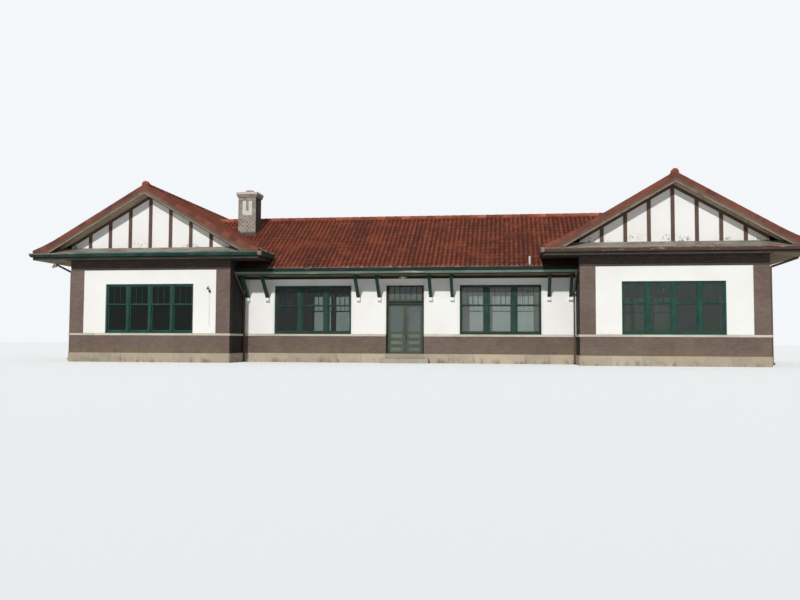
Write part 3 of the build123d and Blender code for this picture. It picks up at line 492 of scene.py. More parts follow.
class Shading(Nodes):
    """Lays out the shader nodes of one material on Object coordinates."""

    def __init__(self, name: str) -> None:
        """Start a material of that name."""
        self.material = bpy.data.materials.new(name)
        self.material.use_nodes = True
        super().__init__(self.material.node_tree)
        self.shader = self.tree.nodes["Principled BSDF"]
        self.where = self.add("TexCoord", "Object")

    def surface(self, **values: object) -> None:
        """Link or set the shader's inputs, each named with _ for a space."""
        for name, value in values.items():
            self.put(self.shader.inputs[name.replace("_", " ")], value)

    def noise(self, size: float, detail: float = 3.0, stretch: Vec = (1.0, 1.0, 1.0),
              rough: float = 0.55) -> bpy.types.NodeSocket:
        """Noise from 0 to 1 whose patches are about size metres across, longer by stretch."""
        scale = tuple(1.0 / (size * s) for s in stretch)
        place = self.add("Mapping", "Vector", {"Vector": self.where, "Scale": scale})
        return self.add("TexNoise", "Fac", {"Vector": place, "Scale": 1.0, "Detail": detail,
                                            "Roughness": rough})

    def ease(self, value: object, low: float, high: float) -> bpy.types.NodeSocket:
        """0 below low, 1 above high and smooth between; the other way round if low > high."""
        ends = {"From Min": min(low, high), "From Max": max(low, high),
                "To Min": float(low > high), "To Max": float(low <= high)}
        return self.add("MapRange", "Result", {"Value": value, **ends},
                        interpolation_type="SMOOTHSTEP")

    def times(self, first: object, second: object) -> bpy.types.NodeSocket:
        """The product of two values."""
        return self.combine("MULTIPLY", first, second)

    def blend(self, factor: object, first: object, second: object) -> bpy.types.NodeSocket:
        """First colour at factor 0, second at 1."""
        return self.add("Mix", 2, {0: factor, 6: first, 7: second}, data_type="RGBA")

    def tint(self) -> bpy.types.NodeSocket:
        """The tint that each face of a made piece carries."""
        return self.add("Attribute", "Fac", attribute_name="tint")

    def height(self) -> bpy.types.NodeSocket:
        """Height over the ground."""
        return self.add("SeparateXYZ", "Z", {0: self.where})

    def emboss(self, height: object, depth: float) -> None:
        """Bump the surface by a height from 0 to 1, depth metres deep."""
        self.surface(Normal=self.add("Bump", "Normal", {"Strength": 1.0, "Distance": depth,
                                                        "Height": height}))


def scaled(colour: Vec, factor: float, more: float = 0.0) -> Vec:
    """A colour times a factor, and a little more, up to white."""
    return tuple(min(1.0, c * factor + more) for c in colour)


_made_materials: dict[str, bpy.types.Material] = {}


@dataclass(frozen=True)
class Finish:
    """A weathered surface: soft patches of two tones, fine grain, worn spots and stains.

    Sizes are in metres, and a stretch says how much longer a pattern is in each direction.

    Attributes:
        name: The material's name.
        colour: Main colour.
        second: The tone that the soft patches turn to.
        patch: Size of the soft patches.
        worn: Colour of the worn or peeled spots.
        wear: Share of the surface that is worn.
        wear_size: Size of the worn spots.
        wear_stretch: Their stretch.
        grain: Size of the fine grain.
        grain_stretch: Its stretch.
        grain_tone: How dark its lines are.
        relief: Depth of the grain.
        rough: Roughness.
        shine: Strength of its gloss, 0.5 for clean paint.
        metal: How metallic it is.
        tint: How far a face's own tint darkens or lightens it.
        stain: Colour of the stains.
        stain_from: Height at which the stains are full.
        stain_to: Height at which they have gone.
        stain_share: How much of the stained height is covered; all of it from about 1.5.
    """

    name: str
    colour: Vec
    second: Vec
    patch: float = 0.8
    worn: Vec = (0.3, 0.28, 0.25)
    wear: float = 0.0
    wear_size: float = 0.15
    wear_stretch: Vec = (1.0, 1.0, 1.0)
    grain: float = 0.01
    grain_stretch: Vec = (1.0, 1.0, 1.0)
    grain_tone: float = 0.12
    relief: float = 0.0008
    rough: float = 0.75
    shine: float = 0.15
    metal: float = 0.0
    tint: float = 0.0
    stain: Vec = (0.16, 0.13, 0.10)
    stain_from: float = 0.0
    stain_to: float = 0.0
    stain_share: float = 0.5

    def material(self) -> bpy.types.Material:
        """The finish's material, made once."""
        if self.name not in _made_materials:
            shading = Shading(self.name)
            shading.surface(Specular_IOR_Level=self.shine)
            self.lay(shading)
            _made_materials[self.name] = shading.material
        return _made_materials[self.name]

    def lay(self, s: Shading) -> None:
        """Lay out the nodes of the material s."""
        colour = s.blend(s.ease(s.noise(self.patch, 4.0), 0.38, 0.66), self.colour, self.second)
        height = grain = s.noise(self.grain, 2.0, self.grain_stretch)
        lines = s.times(s.ease(grain, 0.72, 0.30), self.grain_tone)
        colour = s.blend(lines, colour, scaled(self.colour, 0.45))
        if self.tint:
            shade = s.times(s.ease(s.tint(), 0.5, 0.0), self.tint)
            colour = s.blend(shade, colour, scaled(self.colour, 0.35))
            light = s.times(s.ease(s.tint(), 0.5, 1.0), self.tint)
            colour = s.blend(light, colour, scaled(self.colour, 1.9, 0.02))
        if self.wear:
            edge = 0.68 - 0.42 * self.wear
            bare = s.ease(s.noise(self.wear_size, 8.0, self.wear_stretch, 0.68), edge, edge + 0.03)
            colour = s.blend(bare, colour, self.worn)
            height = s.combine("SUBTRACT", grain, bare)
        if self.stain_to != self.stain_from:
            spread = s.ease(s.height(), self.stain_to, self.stain_from)
            edge = 0.72 - 0.4 * self.stain_share
            streaks = s.ease(s.noise(0.35, 6.0, (1.0, 1.0, 2.2), 0.62), edge, edge + 0.2)
            colour = s.blend(s.times(spread, streaks), colour, self.stain)
        s.surface(Base_Color=colour, Roughness=self.rough, Metallic=self.metal)
        s.emboss(height, self.relief)


@dataclass(frozen=True)
class GlassFinish(Finish):
    """Old window glass with a film of dust.

    Attributes:
        clear: Share of the light that the dust lets through.
        bend: The glass's refractive index.
    """

    clear: float = 1.0
    bend: float = 1.25

    def lay(self, s: Shading) -> None:
        """Lay out the nodes of the material s."""
        dust = s.ease(s.noise(self.patch, 5.0), 0.45, 0.8)
        s.surface(Base_Color=s.blend(dust, self.colour, self.second),
                  Roughness=s.times(dust, self.rough), Transmission_Weight=self.clear,
                  IOR=self.bend)


@dataclass(frozen=True)
class GableFinish(Finish):
    """A finish that has also peeled in spots within a band of heights.

    Attributes:
        peeled: Colour of the spots.
        peel_from: Height at which they are thickest.
        peel_to: Height at which they have gone.
    """

    peeled: Vec = (0.24, 0.22, 0.18)
    peel_from: float = 4.90
    peel_to: float = 5.32

    def lay(self, s: Shading) -> None:
        """Lay out the nodes of the material s."""
        super().lay(s)
        colour = s.shader.inputs["Base Color"].links[0].from_socket
        band = s.times(s.ease(s.height(), self.peel_to, self.peel_from),
                       s.ease(s.height(), self.peel_from - 0.05, self.peel_from))
        places = s.ease(s.noise(0.9, 1.0), 0.48, 0.56)
        spots = s.ease(s.noise(0.085, 4.0, rough=0.6), 0.56, 0.60)
        s.surface(Base_Color=s.blend(s.times(s.times(places, spots), band), colour, self.peeled))


@dataclass(frozen=True)
class TileFinish(Finish):
    """Fired clay tiles, each of its own tone, lighter on the crowns as painted highlight, darker in
    the pans as painted shade and dirt and at the butts as painted shade, with soot and lichen in
    spots.

    Attributes:
        third: The tone of the lightest tiles.
        glow: How far patches of the slope turn to it.
    """

    third: Vec = (0.3, 0.1, 0.06)
    glow: float = 0.0

    def lay(self, s: Shading) -> None:
        """Lay out the nodes of the material s."""
        colour = s.blend(s.ease(s.tint(), 0.0, 0.55), self.second, self.colour)
        colour = s.blend(s.ease(s.tint(), 0.6, 1.0), colour, self.third)
        weather = s.times(s.ease(s.noise(self.patch, 4.0), 0.42, 0.72), 0.55)
        colour = s.blend(weather, colour, scaled(self.colour, 0.5))
        fresh = s.times(s.ease(s.noise(0.7 * self.patch, 3.0), 0.52, 0.66), self.glow)
        colour = s.blend(fresh, colour, self.third)
        spots = s.times(s.ease(s.noise(self.wear_size, 8.0, rough=0.7), 0.60, 0.68), self.wear)
        s.surface(Base_Color=s.blend(spots, colour, self.worn), Roughness=self.rough)
        s.emboss(s.noise(self.grain, 4.0), self.relief)


WOOD_X: Vec = (14.0, 1.0, 1.0)
WOOD_Z: Vec = (1.0, 1.0, 12.0)
MASONRY = {"grain": 0.008, "grain_tone": 0.25}
BOARDS = {"grain_stretch": WOOD_X, "grain_tone": 0.3}
GUTTER = {**BOARDS, "grain": 0.02, "relief": 0.0005}
JOINERY = {"wear_stretch": (1.0, 1.0, 4.0), "grain": 0.008, "grain_stretch": WOOD_Z,
           "grain_tone": 0.3, "relief": 0.0006}
GLASS = {"rough": 0.05, "shine": 0.5}

BRICK = Finish("painted_brick", (0.172, 0.124, 0.103), (0.205, 0.155, 0.134), 1.4,
               (0.30, 0.25, 0.21), 0.07, 0.08, grain=0.012, grain_tone=0.25, relief=0.0012,
               rough=0.82, tint=0.13, stain=(0.20, 0.155, 0.085), stain_from=0.40,
               stain_to=0.80, stain_share=0.75)
# Painted shade: a darker copy of the painted brick for the top bands under the eaves and the
# chimney's east face.
SHADE_PAINTED_BRICK = Finish("shade_painted_brick", (0.080, 0.062, 0.054), (0.058, 0.046, 0.041), 0.9,
                    (0.15, 0.12, 0.10), 0.07, 0.08, grain=0.012, grain_tone=0.25,
                    relief=0.0012, rough=0.85, tint=0.13, stain=(0.16, 0.13, 0.085),
                    stain_from=0.40, stain_to=0.75)
# Painted shade: the return walls' brick is near black for the shade in the corners between
# pavilions and hall.
SHADE_PAINTED_RETURN_BRICK = Finish("shade_painted_return_brick", (0.042, 0.036, 0.033), (0.030, 0.026, 0.024), 0.9,
                      (0.09, 0.075, 0.065), 0.08, 0.05, **MASONRY, relief=0.0012, rough=0.9)
STUCCO = GableFinish("white_stucco", (0.90, 0.90, 0.875), (0.86, 0.855, 0.82), 1.8,
                     (0.70, 0.68, 0.62), 0.04, 0.10, grain=0.018, grain_tone=0.03,
                     relief=0.0014, rough=0.88, stain=(0.62, 0.58, 0.51), stain_from=1.24,
                     stain_to=1.50, stain_share=0.4)
CASING = Finish("stucco_casing", (0.86, 0.855, 0.82), (0.82, 0.81, 0.77), 0.9,
                (0.70, 0.68, 0.62), 0.05, 0.08, grain=0.012, grain_tone=0.03, rough=0.8)
BASE_STONE = Finish("base_stone", (0.47, 0.405, 0.305), (0.40, 0.345, 0.27), 0.9,
                    (0.56, 0.50, 0.40), 0.16, 0.12, **MASONRY, relief=0.0022, rough=0.9,
                    tint=0.18, stain=(0.17, 0.14, 0.105), stain_to=0.30, stain_share=0.62)
SILL_STONE = Finish("sill_stone", (0.62, 0.57, 0.47), (0.54, 0.50, 0.41), 0.7,
                    (0.40, 0.36, 0.29), 0.14, 0.10, grain=0.008, grain_tone=0.15,
                    relief=0.0012, rough=0.85, tint=0.15)
STEP_CONCRETE = Finish("step_concrete", (0.44, 0.40, 0.33), (0.36, 0.33, 0.28), 0.5,
                       (0.24, 0.21, 0.17), 0.2, 0.1, grain=0.006, relief=0.001, rough=0.9)
FLOOR = Finish("worn_floor", (0.30, 0.24, 0.18), (0.24, 0.19, 0.14), 0.9, (0.36, 0.30, 0.24),
               0.15, 0.2, grain=0.02, grain_stretch=WOOD_X, relief=0.0004, rough=0.5)
TILES = TileFinish("clay_tiles", (0.136, 0.033, 0.019), (0.036, 0.013, 0.010), 1.5,
                   (0.24, 0.14, 0.10), 0.22, 0.05, relief=0.0012,
                   third=(0.30, 0.075, 0.034), glow=0.42)
RIDGE_TILES = TileFinish("ridge_tiles", (0.33, 0.090, 0.046), (0.19, 0.055, 0.035), 0.8,
                         (0.46, 0.28, 0.21), 0.30, 0.05, relief=0.0012,
                         third=(0.45, 0.15, 0.085))
RAKE_TILES = TileFinish("rake_tiles", (0.195, 0.066, 0.046), (0.13, 0.045, 0.034), 0.5,
                        (0.34, 0.21, 0.16), 0.35, 0.06, relief=0.0012, rough=0.8,
                        third=(0.23, 0.075, 0.048))
TILE_MORTAR = Finish("eave_mortar", (0.29, 0.235, 0.20), (0.19, 0.135, 0.115), 0.25,
                     (0.13, 0.07, 0.055), 0.30, 0.05, grain=0.006, relief=0.002, rough=0.95,
                     tint=0.5)
ROOF_DECK = Finish("roof_deck", (0.060, 0.037, 0.027), (0.045, 0.03, 0.022), 0.8,
                   (0.1, 0.08, 0.06), 0.1, 0.1, relief=0.001, rough=0.9)
RAKE_BOARD = Finish("rake_board", (0.165, 0.092, 0.066), (0.195, 0.125, 0.092), 0.9,
                    (0.28, 0.21, 0.155), 0.14, 0.16, (2.5, 1.0, 1.2), **BOARDS, grain=0.012,
                    relief=0.0010)
RAKE_EDGE = Finish("rake_edge", (0.30, 0.245, 0.185), (0.21, 0.155, 0.115), 0.6,
                   (0.14, 0.10, 0.08), 0.2, 0.14, (2.5, 1.0, 1.2), **BOARDS, grain=0.012,
                   relief=0.0010, rough=0.8)
PENT_PAINT = Finish("pent_paint", (0.33, 0.32, 0.275), (0.235, 0.225, 0.195), 0.8,
                    (0.24, 0.13, 0.10), 0.30, 0.22, (3.0, 1.0, 1.0), grain=0.012,
                    grain_stretch=WOOD_X, grain_tone=0.25, relief=0.0012, rough=0.85, tint=0.2)
BROWN_PAINT = Finish("brown_paint", (0.115, 0.070, 0.055), (0.145, 0.09, 0.07), 0.6,
                     (0.24, 0.18, 0.14), 0.10, 0.12, (1.0, 1.0, 3.0), grain_stretch=WOOD_Z,
                     grain_tone=0.3, rough=0.6)
# Painted shade: the soffits under the inner and gable eaves and the eave solids are near black for
# the shade there.
SHADE_PAINTED_SOFFIT = Finish("soffit_paint", (0.035, 0.025, 0.020), (0.050, 0.036, 0.028), 0.8,
                      (0.10, 0.08, 0.06), 0.08, **BOARDS, rough=0.7, tint=0.2)
RAKE_SOFFIT = Finish("rake_soffit", (0.58, 0.50, 0.38), (0.46, 0.38, 0.27), 0.8,
                     (0.16, 0.11, 0.08), 0.15, **BOARDS, rough=0.7, tint=0.25)
# Tan soffit paint, darkened as painted shade under the hall's deep eaves.
SHADE_DARKENED_HALL_SOFFIT = Finish("hall_soffit", (0.17, 0.125, 0.070), (0.12, 0.085, 0.048), 0.8,
                     (0.07, 0.05, 0.032), 0.15, **BOARDS, rough=0.7, tint=0.25)
TAN_SOFFIT = Finish("tan_soffit", (0.27, 0.205, 0.115), (0.20, 0.14, 0.075), 0.8,
                    (0.10, 0.07, 0.045), 0.12, **BOARDS, rough=0.7, tint=0.25)
GREEN_METAL = Finish("green_metal", (0.012, 0.046, 0.034), (0.030, 0.080, 0.062), 0.9,
                     (0.16, 0.20, 0.17), 0.08, 0.20, (8.0, 1.0, 0.6), **GUTTER, rough=0.5)
HALL_METAL = Finish("hall_gutter_metal", (0.128, 0.215, 0.177), (0.21, 0.28, 0.24), 1.6,
                    (0.44, 0.48, 0.42), 0.16, 0.20, (9.0, 1.0, 0.5), **GUTTER, rough=0.5)
BROWN_METAL = Finish("brown_metal", (0.118, 0.060, 0.046), (0.105, 0.072, 0.058), 0.5,
                     (0.30, 0.27, 0.22), 0.22, 0.12, (4.0, 1.0, 0.6), **GUTTER, rough=0.6)
# Painted shade: the fascias under the gutters and the hall's friezes are near black for the shade
# under gutters and eaves.
SHADE_PAINTED_FASCIA = Finish("shade_painted_fascia", (0.022, 0.026, 0.022), (0.040, 0.036, 0.030), 0.7,
                     (0.12, 0.10, 0.08), 0.10, 0.12, (4.0, 1.0, 1.0), **BOARDS, grain=0.012,
                     relief=0.0006, rough=0.7)
PALE_EDGE = Finish("pale_edge", (0.15, 0.14, 0.12), (0.075, 0.068, 0.058), 0.8,
                   (0.04, 0.035, 0.03), 0.2, 0.15, (4.0, 1.0, 1.0), grain_stretch=WOOD_X,
                   relief=0.0006, rough=0.7)
# Painted shadow: the hall gutters' top band is near black for the shadow of the tiles' overhang.
SHADOW_PAINTED_LIP = Finish("shadow_painted_lip", (0.006, 0.022, 0.017), (0.012, 0.034, 0.027), 0.6,
                  (0.06, 0.08, 0.07), 0.10, 0.10, (6.0, 1.0, 1.0), **GUTTER, rough=0.7)
# Painted highlight: the west gutters' top band is a lighter green for the light along their upper
# edge.
HIGHLIGHT_PAINTED_LIP = Finish("highlight_painted_green_lip", (0.040, 0.105, 0.082), (0.075, 0.16, 0.13), 0.7,
                   (0.26, 0.30, 0.26), 0.12, 0.12, (6.0, 1.0, 1.0), **GUTTER, rough=0.6)
FLAKED_LIP = Finish("flaked_lip", (0.27, 0.245, 0.205), (0.20, 0.12, 0.09), 0.35,
                    (0.13, 0.065, 0.05), 0.30, 0.10, (4.0, 1.0, 1.0), **BOARDS, rough=0.8)
PIPE_METAL = Finish("pipe_metal", (0.13, 0.092, 0.080), (0.10, 0.072, 0.064), 0.5,
                    (0.26, 0.22, 0.18), 0.14, 0.12, (1.0, 1.0, 5.0), grain=0.02,
                    grain_stretch=WOOD_Z, relief=0.0004, rough=0.55)
GREEN_PAINT = Finish("green_paint", (0.014, 0.066, 0.050), (0.024, 0.090, 0.070), 0.5,
                     (0.13, 0.22, 0.18), 0.10, 0.08, **JOINERY, rough=0.5)
# Painted shade: a darker copy of the green paint for the hall's windows and the east hall bars.
SHADED_GREEN = Finish("shade_painted_green", (0.016, 0.046, 0.036), (0.030, 0.070, 0.056), 0.5,
                      (0.10, 0.15, 0.12), 0.10, 0.08, **JOINERY, rough=0.55)
FRAME_PAINT = Finish("door_frame_paint", (0.014, 0.020, 0.014), (0.024, 0.032, 0.024), 0.5,
                     (0.08, 0.09, 0.07), 0.10, 0.08, **JOINERY, rough=0.6)
# Painted shade: a darker copy of the green paint for the brackets under the hall's eaves.
SHADE_PAINTED_BRACKET = Finish("shade_painted_bracket_green", (0.016, 0.046, 0.034), (0.026, 0.066, 0.052), 0.4,
                       (0.09, 0.13, 0.11), 0.08, 0.08, **JOINERY, rough=0.55)
DOOR_PAINT = Finish("door_paint", (0.060, 0.080, 0.063), (0.080, 0.100, 0.080), 0.5,
                    (0.16, 0.18, 0.145), 0.10, 0.10, (1.0, 1.0, 4.0), **MASONRY,
                    grain_stretch=WOOD_Z, relief=0.0006, rough=0.5)
DOOR_FIELD = Finish("door_field", (0.135, 0.170, 0.130), (0.165, 0.195, 0.155), 0.4,
                    (0.24, 0.26, 0.21), 0.10, 0.10, (4.0, 1.0, 1.0), **MASONRY,
                    grain_stretch=WOOD_X, relief=0.0006, rough=0.5)
# Painted reflection: the hall's east glass is pale grey for the sky it reflects, over its dust.
REFLECTION_PAINTED_HALL_GLASS = GlassFinish("hall_glass", (0.52, 0.57, 0.54), (0.44, 0.48, 0.45), 0.9, **GLASS,
                         clear=0.84, bend=1.35)
CLEAR_GLASS = GlassFinish("clear_glass", (0.40, 0.45, 0.42), (0.33, 0.37, 0.345), 0.9, **GLASS,
                          clear=0.97)
# Painted shade: the west pavilion's glass is near black.
SHADE_PAINTED_WEST_GLASS = GlassFinish("shade_painted_west_glass", (0.024, 0.038, 0.032), (0.016, 0.026, 0.022), 0.9,
                         **GLASS, clear=0.80)
EAST_GLASS = GlassFinish("east_glass", (0.18, 0.22, 0.195), (0.15, 0.18, 0.16), 0.9, **GLASS,
                         clear=0.84, bend=1.35)
DOOR_GLASS = GlassFinish("door_glass", (0.25, 0.30, 0.29), (0.20, 0.24, 0.235), 0.6, **GLASS,
                         clear=0.62, bend=1.35)
BLACK_IRON = Finish("black_iron", (0.018, 0.018, 0.019), (0.03, 0.029, 0.028), 0.05,
                    (0.09, 0.06, 0.045), 0.1, 0.02, grain=0.003, relief=0.0002, rough=0.4,
                    metal=0.6)
CHIMNEY_BRICK = Finish("chimney_brick", (0.38, 0.335, 0.285), (0.33, 0.275, 0.245), 0.5,
                       (0.50, 0.46, 0.41), 0.2, 0.05, **MASONRY, relief=0.0015, rough=0.88,
                       tint=0.3, stain=(0.10, 0.095, 0.085), stain_from=7.9, stain_to=7.3,
                       stain_share=0.4)
PALE_HEADER = Finish("pale_header", (0.56, 0.50, 0.42), (0.46, 0.40, 0.34), 0.3,
                     (0.30, 0.27, 0.23), 0.2, 0.05, **MASONRY, relief=0.0015, rough=0.88)
CAP_STONE = Finish("cap_stone", (0.74, 0.67, 0.58), (0.64, 0.57, 0.49), 0.3,
                   (0.40, 0.36, 0.31), 0.10, 0.08, grain=0.006, relief=0.0015, rough=0.9)
NICHE_PLASTER = Finish("niche_plaster", (0.78, 0.76, 0.70), (0.70, 0.68, 0.62), 0.3,
                       (0.48, 0.44, 0.39), 0.10, 0.06, grain=0.006, relief=0.001, rough=0.9)
CEMENT = Finish("cement_fillet", (0.125, 0.105, 0.090), (0.090, 0.075, 0.065), 0.2,
                (0.17, 0.15, 0.13), 0.15, 0.05, grain=0.006, relief=0.0015, rough=0.95)
FLUE_CLAY = Finish("flue_clay", (0.42, 0.24, 0.19), (0.34, 0.19, 0.15), 0.1,
                   (0.10, 0.08, 0.07), 0.2, 0.04, grain=0.004, rough=0.85)
PALE_METAL = Finish("pale_metal", (0.72, 0.72, 0.69), (0.60, 0.59, 0.56), 0.2,
                    (0.38, 0.30, 0.24), 0.12, 0.05, grain=0.004, relief=0.0002, rough=0.45)
LAMP_METAL = Finish("lamp_enamel", (0.66, 0.62, 0.50), (0.54, 0.50, 0.40), 0.1,
                    (0.22, 0.14, 0.10), 0.12, 0.03, grain=0.004, relief=0.0002, rough=0.4,
                    stain=(0.075, 0.070, 0.066), stain_from=3.20, stain_to=3.35,
                    stain_share=1.5)
LEAD = Finish("lead_sheet", (0.15, 0.15, 0.155), (0.11, 0.11, 0.115), 0.4,
              (0.24, 0.24, 0.24), 0.2, 0.1, grain=0.008, rough=0.6, metal=0.4)
BULB = Finish("opal_bulb", (0.85, 0.84, 0.80), (0.80, 0.79, 0.75), 0.1, relief=0.0, rough=0.3)

NODE_FINISHES: dict[str, Finish] = {name: finish for finish, names in (
    (BASE_STONE, "stone_base"), (STEP_CONCRETE, "door_steps"), (FLOOR, "floor"),
    (STUCCO, "stucco corbels"), (SILL_STONE, "sill_course"), (BROWN_PAINT, "gable_strips"),
    (SHADE_PAINTED_FASCIA, "hall_friezes"), (SHADE_PAINTED_RETURN_BRICK, "return_walls"),
    (ROOF_DECK, "east_roof west_roof hall_roof"), (RIDGE_TILES, "ridge_caps"),
    (RAKE_BOARD, "rake_boards"), (PENT_PAINT, "pent_shelves"),
    (SHADE_PAINTED_SOFFIT, "east_eaves west_eaves hall_eaves"), (GREEN_METAL, "west_gutters"),
    (HALL_METAL, "hall_gutters"), (BROWN_METAL, "east_gutters"), (PIPE_METAL, "downspouts"),
    (GREEN_PAINT, "pavilion_windows"), (SHADED_GREEN, "hall_windows"),
    (SHADE_PAINTED_BRACKET, "brackets"), (FRAME_PAINT, "door_frame"), (EAST_GLASS, "pavilion_glass"),
    (REFLECTION_PAINTED_HALL_GLASS, "hall_glass"), (DOOR_GLASS, "door_lights east_leaf_glass west_leaf_glass"),
    (DOOR_PAINT, "east_leaf west_leaf back_door"), (BLACK_IRON, "door_pull"),
    (CHIMNEY_BRICK, "chimney"), (CAP_STONE, "chimney_cap"), (PALE_METAL, "vent_pipe"),
    (LAMP_METAL, "lamps")) for name in names.split()}


def dress_nodes() -> None:
    """Give every CAD node its finish; the walls are painted brick."""
    for name, node in frame["nodes"].items():
        for place in node.material_slots:
            place.material = NODE_FINISHES.get(name, BRICK).material()


# Walls


@dataclass
class Walls:
    """The masonry: where the walls run, their bricks, base blocks, sill stones and casings."""

    plan: Plan
    brick_length: float = 0.203
    brick_height: float = 0.057
    brick_depth: float = 0.005
    brick_taper: float = 0.0035
    joint: float = 0.010
    least_length: float = 0.02
    least_height: float = 0.015
    header_every: int = 6
    block_length: float = 1.15
    block_depth: float = 0.012
    block_taper: float = 0.010
    block_gap: float = 0.004
    sill_length: float = 1.22
    sill_projection: float = 0.04
    sill_gap: float = 0.002
    casing_width: float = 0.095
    casing_depth: float = 0.006
    lining: float = 0.003

    def __post_init__(self) -> None:
        """Work out the runs of wall: a face, and a start and an end along it, for each."""
        p = self.plan
        self.fronts: list[Run] = []
        self.ends: list[Run] = []
        self.returns: list[Run] = []
        self.halls: list[Run] = []
        for side in SIDES:
            pavilion = sorted((side * p.inner_x, side * p.outer_x))
            hall = sorted((side * p.door_half, side * p.inner_x))
            self.fronts += [(front(end, 0.0, p.front_y), *pavilion) for end in SIDES]
            self.halls += [(front(end, 0.0, p.hall_y), *hall) for end in SIDES]
            self.ends.append((flank(side, p.outer_x), -p.front_y, p.front_y))
            inward = flank(-side, -p.inner_x)
            self.returns += [(inward, -p.front_y, -p.hall_y), (inward, p.hall_y, p.front_y)]
        self.everywhere = self.fronts + self.ends + self.returns + self.halls

    def lay_bricks(self, making: Making, run: Run, low: float, high: float) -> None:
        """Lay bricks in stretcher courses, with a course of headers now and then.

        A course starts at a place fixed by its number, so that neighbouring fields agree, and
        each brick is cut off at the field's ends.

        Args:
            making: The mesh that gets them.
            run: The wall's face, and the field's start and end along it.
            low: The field's foot.
            high: Its top.
        """
        face, start, end = run
        course, half = self.brick_height + self.joint, self.joint / 2
        header = (self.brick_length - self.joint) / 2
        for row in range(math.floor(low / course), math.ceil(high / course)):
            step = (self.brick_length if row % self.header_every else header) + self.joint
            shift = 0.0 if row % 2 else step / 2
            place = np.arange(math.floor((start - shift) / step), math.ceil(end / step) + 1)
            left = np.maximum(place * step + shift + half, start)
            right = np.minimum(place * step + shift + step - half, end)
            bottom, top = max(row * course + half, low), min((row + 1) * course - half, high)
            wide = right - left > self.least_length
            if top - bottom >= self.least_height and wide.any():
                making.blocks(face, left[wide], right[wide], bottom, top, self.brick_depth,
                              self.brick_taper, rng.random(int(wide.sum())))

    def bricks(self) -> None:
        """Lay the painted bricks of the base band, pilasters, top bands and return walls."""
        p = self.plan
        # The top bands under the eaves get the brick darkened as painted shade.
        top_bands = Making("top_band_bricks")
        for name, runs in (("pavilion_bricks", self.fronts), ("end_bricks", self.ends)):
            making = Making(name)
            for run in runs:
                face, start, end = run
                self.lay_bricks(making, run, p.base_top, p.sill_bottom)
                self.lay_bricks(top_bands, run, p.panel_top, p.soffit_z)
                for edges in ((start, start + p.pilaster), (end - p.pilaster, end)):
                    self.lay_bricks(making, (face, *edges), p.sill_top, p.panel_top)
            making.made(BRICK, "brick")
        top_bands.made(SHADE_PAINTED_BRICK, "brick")
        # The return walls get their brick darkened as painted shade.
        returns, halls = Making("return_bricks"), Making("hall_bricks")
        for run in self.returns:
            self.lay_bricks(returns, run, p.base_top, p.sill_bottom)
            self.lay_bricks(returns, run, p.sill_top, p.soffit_z)
        returns.made(SHADE_PAINTED_RETURN_BRICK, "brick")
        for run in self.halls:
            self.lay_bricks(halls, run, p.base_top, p.sill_bottom)
        halls.made(BRICK, "brick")

    def base_blocks(self) -> None:
        """Face the stone base with long blocks, and with one over the step of each doorway."""
        p, gap = self.plan, self.block_gap
        making = Making("base_blocks")
        size = (p.base_top - gap, self.block_depth, self.block_taper)
        for face, start, end in self.everywhere:
            edges = lengths(start, end, self.block_length)
            making.blocks(face, edges[:-1] + gap, edges[1:] - gap, 0.0, *size,
                          rng.random(len(edges) - 1), p.base_projection)
        for end in SIDES:
            making.blocks(front(end, 0.0, p.hall_y), -p.door_half, p.door_half, p.step_top, *size,
                          0.5, p.base_projection)
        making.made(BASE_STONE, "base_stone")

    def sill_stones(self) -> None:
        """Lay the sill course in lengths, its top sloped to shed rain and its foot throated."""
        out, low, high = self.sill_projection, self.plan.sill_bottom, self.plan.sill_top
        making = Making("sill_stones")
        section = np.array([[-0.01, low], [out - 0.012, low], [out - 0.012, low + 0.006],
                            [out - 0.004, low + 0.006], [out, low + 0.012], [out, high - 0.016],
                            [out - 0.006, high - 0.010], [-0.01, high]])
        for run in self.everywhere:
            face, start, end = run
            grow = out if run in self.fronts else 0.0
            edges = lengths(start - grow, end + grow, self.sill_length)
            for pair in zip(edges[:-1] + self.sill_gap, edges[1:] - self.sill_gap):
                making.sweep(section, face.place(pair, 0.0), face.out, UP, tint=rng.random())
        making.made(SILL_STONE, "sill_stone", replaces=["sill_course"])

    def casings(self, openings: Sequence[Opening]) -> None:
        """Frame the openings in the hall's fronts with a flat stucco band, and line every opening's
        reveal.

        Args:
            openings: For each opening its face, half width, foot, head and depth of reveal.
        """
        making = Making("stucco_casings")
        width, sheet = self.casing_width, self.lining / 2
        for face, half, low, high, reveal in openings:
            if abs(face.origin[1]) == self.plan.hall_y:
                making.blocks(face, [-half - width, half, -half], [-half, half + width, half],
                              [low, low, high], high + width, self.casing_depth, 0.002, 0.5,
                              -self.plan.stucco_depth)
            for side in SIDES:
                middle = face.place(side * (half - sheet), (low + high) / 2, -reveal / 2)
                making.boxes(middle, np.abs(face.turn(sheet, (high - low) / 2, reveal / 2)))
            making.boxes(face.place(0.0, high - sheet, -reveal / 2),
                         np.abs(face.turn(half, sheet, reveal / 2)))
        making.made(CASING, "stucco")


# Windows and doors


